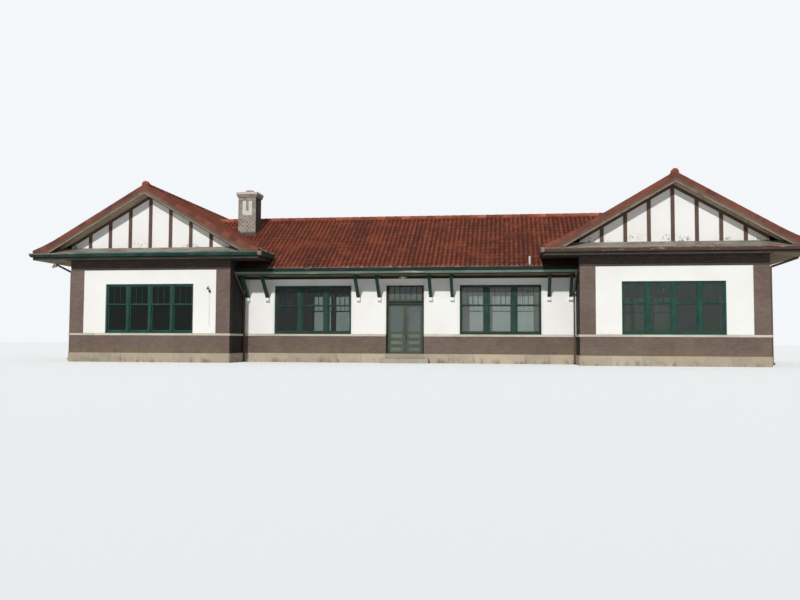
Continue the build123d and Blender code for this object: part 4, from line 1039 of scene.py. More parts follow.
@dataclass(frozen=True)
class SashWindow:
    """A window of double-hung sashes, as its solid has it, with the bars the scene adds."""

    width: float
    height: float
    units: int
    mullion: float
    lights: int
    reveal: float = 0.07
    frame: float = 0.05
    sash: float = 0.045
    bottom_rail: float = 0.075
    sash_depth: float = 0.04
    offset: float = 0.022
    upper_share: float = 0.42
    bar: float = 0.022
    slope: float = 0.012
    pane: float = 0.004
    corner: float = 0.055
    mullion_strip: float = 0.018

    def dress(self, face: Facing, bars: Making, panes: Making) -> None:
        """Add glazing bars, beads and panes to one window.

        Args:
            face: The wall's face, its origin at the middle of the sill.
            bars: The mesh that gets the wooden pieces.
            panes: The mesh that gets the glass.
        """
        clear = self.height - 2 * self.frame
        unit = (self.width - 2 * self.frame - (self.units - 1) * self.mullion) / self.units
        share, half = self.upper_share * clear, unit / 2 - self.sash
        head = self.height - self.frame - self.sash
        upper = (head - share + 2 * self.sash, head)
        lower = (self.frame + self.bottom_rail, self.frame + clear - share)
        out = -self.reveal - self.offset
        section = bar_section(0.5 * self.bar, 0.3 * self.bar, 0.004 - self.sash_depth, -0.016,
                              -0.003)
        middles = (np.arange(self.units) - (self.units - 1) / 2) * (unit + self.mullion)
        for middle in middles:
            self.light(face, bars, panes, middle, half, upper, out)
            self.light(face, bars, panes, middle, half, lower, out - self.sash_depth)
            for place in np.linspace(-half, half, self.lights + 1)[1:-1]:
                bars.sweep(section, face.place(middle + place, upper, out), face.along, face.out)
            self.corners(face, bars, middle, half, lower[1], out - self.sash_depth)
        for edge in (middles[:-1] + middles[1:]) / 2:
            mullion = Facing(tuple(face.place(edge, 0.0, -self.reveal)), face.along)
            bars.blocks(mullion, -self.mullion_strip, self.mullion_strip, self.frame,
                        self.height - self.frame, 0.010, 0.006)

    def light(self, face: Facing, bars: Making, panes: Making, middle: float, half: float,
              heights: tuple[float, float], out: float) -> None:
        """Line a light with a sloping bead and set its pane, slightly larger than the light.

        Args:
            face: The wall's face.
            bars: The mesh that gets the bead.
            panes: The mesh that gets the pane.
            middle: The light's middle along the face.
            half: Half its width.
            heights: Its foot and head.
            out: Where the sash's face is.
        """
        low, high = heights
        bars.bead(face, (middle - half, middle + half, low, high),
                  ((0.0, out + 0.001), (self.slope, out - self.slope),
                   (self.slope, out - self.sash_depth + 0.006)))
        wide, back = half + 0.004, -self.pane
        section = np.array([[-wide, back], [wide, back], [wide, 0.0], [-wide, 0.0]])
        path = face.place(middle, (low - 0.004, high + 0.004), out - self.sash_depth / 2)
        panes.sweep(section, path, face.along, face.out)

    def corners(self, face: Facing, bars: Making, middle: float, half: float, top: float,
                out: float) -> None:
        """Round the lower light's top corners: a spandrel between each corner and an arc."""
        arc = ring_section(self.corner, 7, 0.0, 90.0) - self.corner
        for side in SIDES:
            along, upward = middle + side * (half + arc[:, 0]), top + arc[:, 1]
            points = [face.place(middle + side * half + 0.0 * along, top, out - 0.004),
                      face.place(along, upward, out - 0.004),
                      face.place(along, upward, out - self.sash_depth + 0.006)]
            bars.skin(np.stack(points), flip=side < 0)


@dataclass
class Windows:
    """All the windows of the station."""

    plan: Plan
    pavilion: SashWindow = SashWindow(3.96, 2.11, 4, 0.11, 3)
    hall: SashWindow = SashWindow(3.45, 2.12, 3, 0.17, 4)
    hall_x: float = 4.084808

    def places(self, side: float) -> list[tuple[SashWindow, Facing]]:
        """Each window of a side with the face it stands in, from the middle of the sill."""
        p = self.plan
        return [*((self.pavilion, front(end, side * p.pavilion_x, p.front_y, p.sill_top))
                  for end in SIDES),
                (self.pavilion, flank(side, p.outer_x, p.sill_top)),
                *((self.hall, front(end, side * self.hall_x, p.hall_y, p.sill_top))
                  for end in SIDES)]

    def build(self) -> None:
        """Add the bars and panes of every window."""
        for window, name, side, end, paint, glass in (
                (self.pavilion, "pavilion", -1.0, "west", GREEN_PAINT, SHADE_PAINTED_WEST_GLASS),
                (self.pavilion, "pavilion", 1.0, "east", GREEN_PAINT, EAST_GLASS),
                (self.hall, "hall", -1.0, "west", GREEN_PAINT, CLEAR_GLASS),
                (self.hall, "hall", 1.0, "east", SHADED_GREEN, REFLECTION_PAINTED_HALL_GLASS)):
            bars, panes = Making(f"{end}_{name}_bars"), Making(f"{end}_{name}_panes")
            for kind, face in self.places(side):
                if kind is window:
                    window.dress(face, bars, panes)
            bars.made(paint, "green_paint")
            panes.made(glass, "glass", replaces=[f"{name}_glass"])

    def openings(self) -> list[Opening]:
        """Face, half width, foot, head and reveal of every window opening."""
        return [(face, kind.width / 2, 0.0, kind.height, kind.reveal)
                for side in SIDES for kind, face in self.places(side)]


@dataclass
class Doors:
    """The double doors: transom bars, beads, and raised fields on the leaves' panels."""

    plan: Plan
    clear_half: float = 0.765
    leaf_top: float = 2.53
    transom_foot: float = 2.72
    transom_head: float = 3.30
    transom_lights: int = 6
    light_half: float = 0.72
    leaf_y: float = 3.355
    frame_y: float = 3.42
    leaf_middle: float = 0.381
    leaf_light_half: float = 0.273
    light_low: float = 1.35
    light_high: float = 2.43
    panels: int = 3
    panel_pitch: float = 0.288
    panel_height: float = 0.208
    panel_first: float = 0.59
    panel_sink: float = 0.012
    field_margin: float = 0.030

    def leaves(self, name: str, end: float, middles: Sequence[float], body: Body) -> None:
        """Mould the leaves' lights and panels.

        Args:
            name: The piece's name.
            end: The end of the building that they are at.
            middles: Where the leaves' middles are along the face.
            body: The body that the piece rides on.
        """
        making, face, margin = Making(name), front(end, 0.0, self.leaf_y), self.field_margin
        for middle in middles:
            left, right = middle - self.leaf_light_half, middle + self.leaf_light_half
            making.bead(face, (left, right, self.light_low, self.light_high),
                        ((-0.010, 0.0), (0.0, 0.005), (0.014, -0.016)))
            for number in range(self.panels):
                low = self.panel_first + number * self.panel_pitch - self.panel_height / 2
                high = low + self.panel_height
                making.blocks(face, left + margin, right - margin, low + margin, high - margin,
                              self.panel_sink - 0.003, 0.012, base=-self.panel_sink)
                making.bead(face, (left, right, low, high),
                            ((-0.010, 0.0), (0.0, 0.005), (0.014, -0.010)))
        making.made(DOOR_FIELD, "door_paint", body)

    def transom(self, name: str, end: float) -> None:
        """Stand the transom's bars between its moulded rails.

        Args:
            name: The piece's name.
            end: The end of the building that it is at.
        """
        making, face = Making(name), front(end, 0.0, self.frame_y)
        top, foot = self.leaf_top, self.transom_foot
        section = bar_section(0.013, 0.007, -0.095, -0.055, -0.040)
        for place in np.linspace(-self.light_half, self.light_half, self.transom_lights + 1)[1:-1]:
            making.sweep(section, face.place(place, (foot, self.transom_head)), face.along,
                         face.out)
        rail = np.array([[0.0, top + 0.045], [0.0, top + 0.006], [0.016, top + 0.006],
                         [0.026, top + 0.016], [0.026, top + 0.034]])
        sill = np.array([[0.0, foot], [0.0, foot - 0.05], [0.012, foot - 0.04],
                         [0.012, foot - 0.012]])
        for moulding in (rail, sill):
            making.sweep(moulding, face.place((-self.clear_half, self.clear_half), 0.0),
                         face.out, UP)
        making.made(DOOR_PAINT, "door_paint")

    def build(self) -> None:
        """Dress the front leaves, the fixed back door and both transoms."""
        middle = self.leaf_middle
        self.leaves("east_leaf_mouldings", -1.0, [middle], Body.EAST_DOOR)
        self.leaves("west_leaf_mouldings", -1.0, [-middle], Body.WEST_DOOR)
        self.leaves("back_door_mouldings", 1.0, [-middle, middle], Body.STATION)
        self.transom("transom_bars", -1.0)
        self.transom("back_transom_bars", 1.0)

    def openings(self) -> list[Opening]:
        """Face, half width, foot, head and reveal of the two doorways above the sill."""
        p = self.plan
        return [(front(end, 0.0, p.hall_y), p.door_half, p.sill_top, p.door_head, p.door_reveal)
                for end in SIDES]


# Roofs


@dataclass(frozen=True)
class Slope:
    """One slope that gets tiles.

    Attributes:
        name: The name of its tiles.
        rows: The courses' edges on the deck, as rows of (distance off the ridge, z).
        normals: Unit normals there, in the same two directions.
        axis: 0 where the ridge runs along X, 1 along Y.
        side: The side of the ridge that it is on.
        centre: Where the ridge is across its axis.
        reach: How far the slope runs each way along the ridge.
        hidden: Says of points whether another roof covers them.
        eave_hidden: The same for the mortar at the eave.
    """

    name: str
    rows: Array
    normals: Array
    axis: int
    side: float
    centre: float
    reach: float
    hidden: Hiding
    eave_hidden: Hiding


@dataclass
class TiledRoofs:
    """Clay tiles on every slope, with ridge tiles, rake tiles and mortar at the eaves."""

    plan: Plan
    line: RoofLine = RoofLine()
    rib: float = 0.202
    exposure: float = 0.335
    crown: float = 0.046
    pan: float = 0.010
    butt: float = 0.014
    overhang: float = 0.02
    first_run: float = 0.04
    hall_reach: float = 10.3
    slab: float = 0.16
    beside: float = 0.03
    mortar_foot: float = 0.012
    swell: float = 0.04
    tile_shade: float = 0.26
    rib_shade: float = 0.14
    # Crowns lighter as painted highlight, pans darker as painted shade with dirt, butt faces darker
    # as painted shade.
    crown_light_pan_shade_and_dirt: float = 0.56
    painted_step_shade: float = 0.65
    ridge_radius: float = 0.128
    ridge_exposure: float = 0.40
    ridge_bed: float = 0.012
    gable_end: float = 0.03
    hall_lap: float = 0.15
    knob_radius: float = 0.153
    knob_rise: float = 0.05
    knob_length: float = 0.16
    rake_radius: float = 0.050
    rake_skirt: float = 0.125
    rake_depth: float = 0.36
    rake_face: float = 5.90
    thickness: float = 0.18
    soffit_boards: int = 5
    bed_foot: float = 0.305

    def never(self, points: Array) -> Array:
        """False for every point."""
        return np.zeros(points.shape[:-1], bool)

    def under_other_roof(self, points: Array) -> Array:
        """True for points of the hall's slopes that a pavilion's roof or eave box covers."""
        off = np.abs(points[..., 0]) - self.plan.pavilion_x
        top = np.maximum(self.line.height(off), self.line.eave_z) - self.slab
        return (np.abs(off) < self.plan.eave_x + self.beside) & (points[..., 2] < top)

    def under_hall_roof(self, points: Array) -> Array:
        """True for points of the pavilions' inner slopes that the hall's roof covers."""
        y, z = points[..., 1], points[..., 2]
        return (np.abs(y) < self.plan.hall_eave_y) & (z < self.plan.hall_deck(y) - self.slab)

    def hall_eave_end(self, points: Array) -> Array:
        """True for points of the hall's eave that lie beyond the pavilions' eave boxes."""
        return np.abs(points[..., 0]) > self.plan.pavilion_x - self.plan.eave_x - self.beside

    def course_runs(self, length: float) -> Array:
        """Lengths down a slope of its courses' edges, whole exposures up from the eave."""
        count = math.ceil((length + self.overhang) / self.exposure)
        up = self.exposure * np.arange(count - 1, -1, -1)
        return np.append(self.first_run, length + self.overhang - up)

    def slopes(self) -> Iterator[Slope]:
        """The pavilions' four slopes from the west to the east, then the hall's two."""
        p = self.plan
        rows, normals = self.line.at(self.course_runs(self.line.length))
        for pavilion, side in CORNERS:
            outer = pavilion == side
            name = f"{'west' if pavilion < 0 else 'east'}_{'outer' if outer else 'inner'}_tiles"
            hidden = self.never if outer else self.under_hall_roof
            yield Slope(name, rows, normals, 1, side, pavilion * p.pavilion_x, p.overhang_y,
                        hidden, hidden)
        slant = math.hypot(1.0, p.hall_pitch)
        off = self.course_runs(p.hall_eave_y * slant) / slant
        rows = np.stack([off, p.hall_deck(off)], -1)
        normals = np.full(rows.shape, (p.hall_pitch / slant, 1.0 / slant))
        for side, name in zip(SIDES, ("hall_front_tiles", "hall_back_tiles")):
            yield Slope(name, rows, normals, 0, side, 0.0, self.hall_reach,
                        self.under_other_roof, self.hall_eave_end)

    def ribs(self, reach: float) -> tuple[int, Array, Array]:
        """Cut a slope into ribs.

        Across a tile the pan is a shallow dip over the first third, and the roll is a half sine
        raised to the power 0.8 over the rest.

        Args:
            reach: How far the slope runs each way along its ridge.

        Returns:
            How many ribs there are, the points' places along the ridge, and their heights.
        """
        across = np.array([0.0, 0.12, 0.25, 0.34, 0.42, 0.52, 0.65, 0.78, 0.88, 0.95])
        dip = 1 - 0.6 * np.sin(np.pi * np.clip(across / 0.30, 0.0, 1.0))
        roll = np.sin(np.pi * np.clip((across - 0.30) / 0.68, 0.0, 1.0)) ** 0.8
        height = self.pan * dip + self.crown * roll
        count = math.ceil(2 * reach / self.rib)
        places = np.append((np.arange(count)[:, None] + across).ravel(), count)
        return (count, places * (2 * reach / count) - reach,
                np.append(np.tile(height, count), height[0]))

    def lay(self, making: Making, points: Array, tone: Array, hidden: Hiding,
            flip: bool) -> None:
        """Skin the part of a grid of points that no other roof hides."""
        centres = (points[:-1, :-1] + points[1:, 1:]) / 2
        making.skin(points, tone.ravel(), ~hidden(centres), flip)

    def tile(self, slope: Slope, mortar: Making) -> None:
        """Tile one slope and close the ends of its lowest tiles with mortar.

        Each course is a row of points at its upper edge, on the deck, and a row at its lower
        edge, lifted by the butt's thickness; the step between courses is a row of faces.

        Args:
            slope: The slope.
            mortar: The mesh that gets the mortar.
        """
        axis, side = slope.axis, slope.side
        ribs, places, profile = self.ribs(slope.reach)
        each, courses = len(places) // ribs, len(slope.rows) - 1
        flip = (side > 0) == (axis == 1)
        place = stand(slope.rows, axis, side, slope.centre)
        normal = stand(slope.normals, axis, side)
        swell = 1.0 + self.swell * rng.standard_normal((courses, ribs))
        swell = np.repeat(np.repeat(swell, each, axis=1), 2, axis=0)
        swell = np.append(swell, swell[:, :1], axis=1)
        lift = np.tile([0.0, self.butt], courses)[:, None]
        offset = profile * np.where(profile > 0.02, swell, 1.0) + lift
        row = np.repeat(np.arange(courses + 1), 2)[1:-1]
        points = place[row][:, None] + offset[..., None] * normal[row][:, None]
        points[..., axis] += places
        tone = (rng.random((courses, ribs)) * self.tile_shade
                + rng.random((1, ribs)) * self.rib_shade)
        tone = np.repeat(np.repeat(tone, 2, axis=0)[:-1], each, axis=1)
        # Crowns lighter as painted highlight, pans darker as painted shade with dirt.
        tone += self.crown_light_pan_shade_and_dirt * (profile[:-1] + profile[1:]) / (2 * self.crown)
        # The butt faces between the courses are darker as painted shade.
        tone[1::2] *= self.painted_step_shade
        making = Making(slope.name)
        self.lay(making, points, tone, slope.hidden, flip)
        making.made(TILES, "roof_tile", smooth_degrees=38)
        down = stand(np.array([[1.0, -1.0]]) * slope.normals[-1:, ::-1], axis, side)
        top = place[-1] + (profile + self.butt)[:, None] * normal[-1]
        foot = place[-1] - self.mortar_foot * normal[-1] + 0.0 * top
        points = np.stack([foot, top + 0.004 * down, top - 0.03 * down + 0.003 * normal[-1]])
        points[..., axis] += places
        tone = np.tile(np.repeat(rng.random(ribs), each), 2)
        self.lay(mortar, points, tone, slope.eave_hidden, not flip)

    def build(self) -> None:
        """Tile the six slopes, close their eaves and dress their edges."""
        mortar = Making("eave_mortar")
        for slope in self.slopes():
            self.tile(slope, mortar)
        mortar.made(TILE_MORTAR, "roof_tile")
        self.ridges()
        self.rakes()
        self.undersides()
        self.valleys()

    def barrels(self, length: float, exposure: float) -> tuple[Array, Array]:
        """Places along a line of lapped barrel tiles, and their size there.

        Each tile is widest at its butt and a tenth narrower where the next laps it.
        """
        edges = lengths(0.0, length, exposure)
        return np.repeat(edges, 2)[1:-1], np.tile([1.0, 0.9], len(edges) - 1)

    def ridges(self) -> None:
        """Lap barrel tiles along the three ridges, with discs at the gables."""
        p, top = self.plan, self.line.ridge_z
        making = Making("ridge_tiles")
        section = ring_section(self.ridge_radius, 13, -28.0, 208.0)
        gable = p.overhang_y + self.gable_end
        hall = p.pavilion_x - (top - p.hall_ridge_z) / self.line.pitch + self.hall_lap
        for axis, centre, reach, height in ((1, -p.pavilion_x, gable, top),
                                            (1, p.pavilion_x, gable, top),
                                            (0, 0.0, hall, p.hall_ridge_z)):
            along, size = self.barrels(2 * reach, self.ridge_exposure)
            path = np.full((len(along), 3), height + self.ridge_bed)
            path[:, axis], path[:, 1 - axis] = along - reach, centre
            making.sweep(section, path, (Y, X)[axis], UP, size, closed=False, capped=axis == 1,
                         tint=rng.random(len(along))[:-1])
        depth = np.array([-0.02, 0.0, 0.03, self.knob_length])
        for side, end in CORNERS:
            path = np.full((len(depth), 3), top + self.knob_rise)
            path[:, 0], path[:, 1] = side * p.pavilion_x, end * (p.overhang_y - depth)
            making.sweep(ring_section(self.knob_radius, 20), path, X, UP,
                         (0.80, 0.95, 1.0, 1.0), tint=0.8)
        making.made(RIDGE_TILES, "ridge_tile", replaces=["ridge_caps"], smooth_degrees=50)

    @property
    def rake_run(self) -> float:
        """How far off the ridge a rake's lower edge meets the pent shelf."""
        return (self.line.ridge_z - self.rake_depth - self.plan.pent_edge) / self.line.pitch

    def rakes(self) -> None:
        """Lap rake tiles down the gables' edges, over a crown moulding and a bead at the foot."""
        p, radius, skirt = self.plan, self.rake_radius, -self.rake_skirt
        tiles, crown, bead = Making("rake_tiles"), Making("rake_crowns"), Making("rake_beads")
        arc = ring_section(radius, 9, 0.0, 180.0) + np.array([0.0, 0.022])
        tile = np.concatenate([[[radius, skirt], [radius + 0.026, skirt],
                                [radius + 0.022, -0.03]], arc, [[-radius, -0.01]]])
        moulding = np.array([[0.048, skirt + 0.006], [0.070, skirt + 0.006],
                             [0.070, skirt - 0.01], [0.060, skirt - 0.035],
                             [0.048, skirt - 0.04]])
        edge = np.array([[-0.01, 0.0], [0.014, 0.004], [0.014, 0.060], [0.0, 0.072],
                         [-0.01, 0.072]])
        length = self.line.length + self.overhang
        along, size = self.barrels(length, self.exposure)
        place, normal = self.line.at(along)
        curve, lifted = self.line.at(np.append([0.0, self.line.straight_length],
                                               np.linspace(4.6, length, 6)))
        straight = np.array([[0.0, self.line.ridge_z - self.rake_depth],
                             [self.rake_run, p.pent_edge]])
        for pavilion, side, end in product(SIDES, repeat=3):
            centre, y, out = pavilion * p.pavilion_x, end * p.overhang_y, (0.0, end, 0.0)
            tiles.sweep(tile, stand(place, 1, side, centre, y), out, stand(normal, 1, side),
                        0.94 + 0.06 * (size > 0.95), tint=rng.random(len(along))[:-1])
            crown.sweep(moulding, stand(curve, 1, side, centre, y), out, stand(lifted, 1, side))
            bead.sweep(edge, stand(straight, 1, side, centre, end * self.rake_face), out, UP)
        tiles.made(RAKE_TILES, "ridge_tile", smooth_degrees=40)
        crown.made(RAKE_BOARD, "rake_paint")
        bead.made(RAKE_EDGE, "rake_paint")

    def undersides(self) -> None:
        """Board the undersides of the overhangs at the gables, with a bed moulding at the wall."""
        p, top, slant = self.plan, self.line.ridge_z, self.line.slant
        making = Making("rake_soffit_boards")
        level, fall, length = 1.0 / slant, self.line.pitch / slant, self.rake_run * slant
        for pavilion, side, end in product(SIDES, repeat=3):
            centre, turn = pavilion * p.pavilion_x, -side * end
            face = Facing((centre, 0.0, top - self.thickness), (side * level, 0.0, -fall),
                          (0.0, -side, 0.0))
            edges = np.linspace(*sorted((turn * 5.29, turn * 5.84)), self.soffit_boards + 1)
            making.blocks(face, 0.02, length, edges[:-1] + 0.001, edges[1:] - 0.001, 0.008,
                          0.003, rng.random(self.soffit_boards))
            wall = Facing((centre, end * p.front_y, top), (-end * level, 0.0, -turn * fall),
                          (side * fall, 0.0, level))
            making.blocks(wall, *sorted((turn * 0.08, turn * length)), -self.bed_foot / slant,
                          -self.thickness / slant, 0.062, 0.006)
        making.made(RAKE_SOFFIT, "soffit_paint")

    def valleys(self) -> None:
        """Fold a metal gutter into each of the four valleys between the roofs."""
        p = self.plan
        making = Making("valley_sheets")
        y = np.linspace(0.45, 3.42, 12)
        z, rows = p.hall_deck(y), self.line.table()
        off = np.interp(-z, -rows[:, 1], rows[:, 0])
        for side, end in CORNERS:
            middle = np.stack([side * (p.pavilion_x - off), end * y, z + 0.012], -1)
            inward = middle + np.array([-side * 0.17, 0.0, 0.006])
            outward = middle + np.array([side * 0.15, 0.0, 0.15 * self.line.pitch + 0.004])
            making.skin(np.stack([inward, middle, outward]), flip=side * end > 0)
        making.made(LEAD, "pale_metal")


# Eaves, gutters and pipes


# The west pavilion's gutter lips are a lighter green as a painted highlight; the east's flaking is
# real wear.
PAVILION_GUTTERS = ((-1.0, "west", GREEN_METAL, HIGHLIGHT_PAINTED_LIP, "green_metal"),
                    (1.0, "east", BROWN_METAL, FLAKED_LIP, "brown_metal"))


@dataclass
class Eaves:
    """Boarded soffits, fascias and pent shelves, the gutters' lips and straps, and pipes."""

    plan: Plan
    board: float = 0.092
    gutter_width: float = 0.125
    gutter_lip: float = 0.045
    gutter_bed: float = 0.08
    gutter_height: float = 0.15
    hall_gutter_top: float = 3.93
    gutter_top: float = 4.63
    fascia: float = 0.03
    pipe_x: float = 7.1617
    pipe_y: float = 3.5983
    pipe_radius: float = 0.038
    leader_radius: float = 0.045
    leader_y: float = -5.08
    hall_end: float = 7.20
    inner_eave_y: float = 3.86
    inner_strap_y: float = 4.0
    old_lip_end: float = 13.9
    strap_half: float = 0.014
    hall_strap_step: float = 0.85
    strap_step: float = 0.9
    clip_half: float = 0.018

    def soffit(self, making: Making, face: Facing, span: Sequence[float],
               between: Sequence[float]) -> None:
        """Board one soffit with narrow boards whose edges are eased.

        Args:
            making: The mesh that gets the boards.
            face: The soffit's face.
            span: Where the boards start and end along it.
            between: Its two edges across them, in either order.
        """
        edges = lengths(*sorted(between), self.board)
        making.blocks(face, *span, edges[:-1] + 0.001, edges[1:] - 0.001, 0.006, 0.004,
                      rng.random(len(edges) - 1))

    def soffits(self) -> None:
        """Board the soffits under the pavilions' and the hall's eaves."""
        p = self.plan
        boards, tan, hall = (Making(f"{word}soffit_boards") for word in ("", "tan_", "hall_"))
        wall, reach, y = p.outer_x - p.pavilion_x, p.eave_x + self.fascia, p.overhang_y
        for side in SIDES:
            place = (side * p.pavilion_x, 0.0, p.soffit_z)
            for making, toward, span in ((tan, side, (-y, y)),
                                         (boards, -side, (-y, -self.inner_eave_y)),
                                         (boards, -side, (self.inner_eave_y, y))):
                self.soffit(making, Facing(place, Y, X), span, (toward * wall, toward * reach))
            for end in SIDES:
                self.soffit(boards, Facing(place, (-1.0, 0.0, 0.0), Y), (-wall, wall),
                            (end * p.front_y, end * y))
        for end in SIDES:
            self.soffit(hall, Facing((0.0, 0.0, p.hall_soffit_z), (-1.0, 0.0, 0.0), Y),
                        (-p.inner_x, p.inner_x),
                        (end * (p.hall_y + 0.02), end * (p.hall_eave_y + self.fascia)))
        # The inner and gable soffits are near black as painted shade; the outer eaves keep tan
        # boards.
        boards.made(SHADE_PAINTED_SOFFIT, "soffit_paint")
        hall.made(SHADE_DARKENED_HALL_SOFFIT, "soffit_paint")
        tan.made(TAN_SOFFIT, "soffit_paint")

    def round_pavilion(self, side: float, out: float = 0.0) -> Iterator[tuple[Facing, float]]:
        """The faces round a pavilion's eaves.

        Args:
            side: Which pavilion.
            out: How far the faces stand out from the fascias.

        Yields:
            The faces at the two gables and the outer eave, and half the length of each.
        """
        p, reach = self.plan, self.plan.eave_x + self.fascia + out
        for end in SIDES:
            yield front(end, side * p.pavilion_x, p.overhang_y + out), reach
        yield flank(side, p.pavilion_x + reach), p.overhang_y + out

    def fascias(self) -> None:
        """Cover the fascias under the pavilions' gutters with boards dark as painted shade, over a
        pale bead.
        """
        p = self.plan
        boards, beads = Making("fascia_boards"), Making("fascia_beads")
        low, high = p.soffit_z + 0.002, self.gutter_top - self.gutter_height + 0.004
        for side in SIDES:
            for face, half in self.round_pavilion(side):
                boards.blocks(face, -half, half, low, high, 0.006, 0.001)
                beads.blocks(face, -half, half, low, low + 0.016, 0.008, 0.003, 0.5, 0.006)
        for end in SIDES:
            boards.blocks(front(end, 0.0, p.hall_eave_y + self.fascia), -self.hall_end,
                          self.hall_end, self.hall_gutter_top - 0.03, p.hall_eave_z - 0.004,
                          0.020, 0.002)
        boards.made(SHADE_PAINTED_FASCIA, "weathered_paint")
        beads.made(PALE_EDGE, "weathered_paint")

    def pent_boards(self) -> None:
        """Cover the pent shelves with three lapped boards in lengths."""
        p = self.plan
        making = Making("pent_boards")
        rise, run = p.pent_top - p.pent_edge, p.overhang_y - p.front_y
        width = math.hypot(rise, run)
        for side, end in CORNERS:
            face = Facing((side * p.pavilion_x, end * p.overhang_y, p.pent_edge),
                          (-end, 0.0, 0.0), (0.0, -end * run / width, rise / width))
            for row, reach in enumerate((4.42, 4.30, 4.18)):
                joints = np.linspace(-reach, reach, 3 + row % 2)
                making.blocks(face, joints[:-1] + 0.002, joints[1:] - 0.002,
                              row * width / 3 + 0.001, (row + 1) * width / 3 - 0.001,
                              0.010 + 0.002 * row, 0.003, rng.random(len(joints) - 1))
        making.made(PENT_PAINT, "weathered_paint")

    def strap(self, making: Making, corner: Vec, out: Vec, along: Vec) -> None:
        """Wrap a collar round the gutter's channel and tie its lip back to the fascia."""
        w, lip, bed, foot = (self.gutter_width, -self.gutter_lip, self.gutter_bed,
                             -self.gutter_height)
        section = np.array([[0.0, foot - 0.003], [bed + 0.003, foot - 0.003],
                            [w + 0.003, lip - 0.001], [w + 0.003, 0.002], [w - 0.001, 0.002],
                            [w - 0.001, lip], [bed, foot - 0.001], [0.0, foot - 0.001]])
        tie = np.array([[0.0, -0.004], [w, -0.004], [w, 0.0], [0.0, 0.0]])
        half = self.strap_half * np.array(along)
        path = np.stack([corner - half, corner + half])
        making.sweep(section, path, out, UP)
        making.sweep(tie, path, out, UP)

    def straps(self) -> None:
        """Strap the gutters at equal steps."""
        p, z = self.plan, self.gutter_top
        hall = Making("hall_gutter_straps")
        for end, x in product(SIDES, np.arange(-6.8, 6.81, self.hall_strap_step)):
            self.strap(hall, (x, end * (p.hall_eave_y + self.fascia), self.hall_gutter_top),
                       (0.0, end, 0.0), X)
        hall.made(HALL_METAL, "green_metal")
        for side, name, finish, _, slot in PAVILION_GUTTERS:
            making, middle = Making(f"{name}_gutter_straps"), side * p.pavilion_x
            for end, x in product(SIDES, np.arange(-4.5, 4.51, self.strap_step)):
                self.strap(making, (middle + x, end * p.overhang_y, z), (0.0, end, 0.0), X)
            for toward, y in product(SIDES, np.arange(-5.4, 5.41, self.strap_step)):
                if toward == side or abs(y) > self.inner_strap_y:
                    self.strap(making, (middle + toward * (p.eave_x + self.fascia), y, z),
                               (toward, 0.0, 0.0), Y)
            making.made(finish, slot)

    def lips(self) -> None:
        """Fold a flat lip over the gutters' upper edge, flaking on the east pavilion's."""
        p, w, top = self.plan, self.gutter_width, self.hall_gutter_top
        hall = Making("hall_gutter_lips")
        for end in SIDES:
            hall.blocks(front(end, 0.0, p.hall_eave_y + self.fascia + w), -self.hall_end,
                        self.hall_end, top - self.gutter_lip - 0.012, top + 0.004, 0.006, 0.002)
        # The hall gutters' lips carry a painted shadow.
        hall.made(SHADOW_PAINTED_LIP, "green_metal")
        for side, name, _, finish, slot in PAVILION_GUTTERS:
            making = Making(f"{name}_gutter_lips")
            for face, half in self.round_pavilion(side, w):
                making.blocks(face, -half, half, self.gutter_top - 0.030,
                              self.gutter_top + 0.004, 0.005, 0.002)
            making.made(finish, slot)

    def leaders(self) -> None:
        """Lead the side gutters' water to the walls' front corners and down, in round pipes."""
        p, y = self.plan, self.leader_y
        making, caps = Making("leader_pipes"), Making("gutter_end_caps")
        wall, outlet = p.outer_x + 0.075, p.outer_x + 1.49
        reach = p.eave_x + self.fascia
        route = np.array([[outlet, -3.95, 4.50], [outlet, -3.95, 4.40],
                          [outlet - 0.04, -3.99, 4.34], [wall + 0.05, y + 0.06, 3.90],
                          [wall, y + 0.01, 3.84], [wall, y, 3.74], [wall, y, 0.20],
                          [wall + 0.02, y, 0.14], [wall + 0.08, y, 0.10]])
        for side in SIDES:
            path = route * np.array([side, 1.0, 1.0])
            run = np.gradient(path, axis=0)
            run /= np.linalg.norm(run, axis=1, keepdims=True)
            first = np.cross(run, Y)
            first /= np.linalg.norm(first, axis=1, keepdims=True)
            making.sweep(ring_section(self.leader_radius), path, first, np.cross(run, first))
            for height in (0.80, 2.20, 3.55):
                making.boxes((side * (p.outer_x + 0.045), y, height), (0.045, 0.055, 0.016))
            caps.boxes((side * (p.pavilion_x - reach - 0.060), -p.overhang_y - 0.060,
                        self.gutter_top - 0.070), (0.075, 0.075, 0.085))
            caps.boxes((side * (self.hall_end + 0.012), -p.hall_eave_y - self.fascia - 0.055,
                        self.hall_gutter_top - 0.070), (0.022, 0.075, 0.085))
        caps.blocks(front(-1.0, 0.0, p.overhang_y + self.gutter_width),
                    -p.pavilion_x - reach - self.gutter_width, -self.old_lip_end,
                    self.gutter_top - self.gutter_lip, self.gutter_top + 0.005, 0.008, 0.002)
        making.made(PIPE_METAL, "brown_metal", smooth_degrees=40)
        caps.made(FLAKED_LIP, "pale_metal")

    def pipe_clips(self) -> None:
        """Clip the four downspouts to the wall and give each a shoe."""
        making = Making("pipe_clips")
        ring = ring_section(self.pipe_radius + 0.004, 16)
        for side, end in CORNERS:
            foot = np.array([side * self.pipe_x, end * self.pipe_y, 0.0])
            for height in (0.62, 1.60, 2.35):
                ends = height + self.clip_half * np.array(SIDES)
                making.sweep(ring, foot + ends[:, None] * np.array(UP), X, Y)
            shoe = np.array([[0, 0, 0.16], [0, 0, 0.10], [0, end * 0.05, 0.05],
                             [0, end * 0.11, 0.03]])
            slant = np.array([[0, 1, 0], [0, 1, 0], [0, 0.7, 0.7 * end], [0, 0.4, 0.9 * end]])
            making.sweep(ring, foot + shoe, X, slant, capped=False)
        making.made(PIPE_METAL, "brown_metal", smooth_degrees=40)

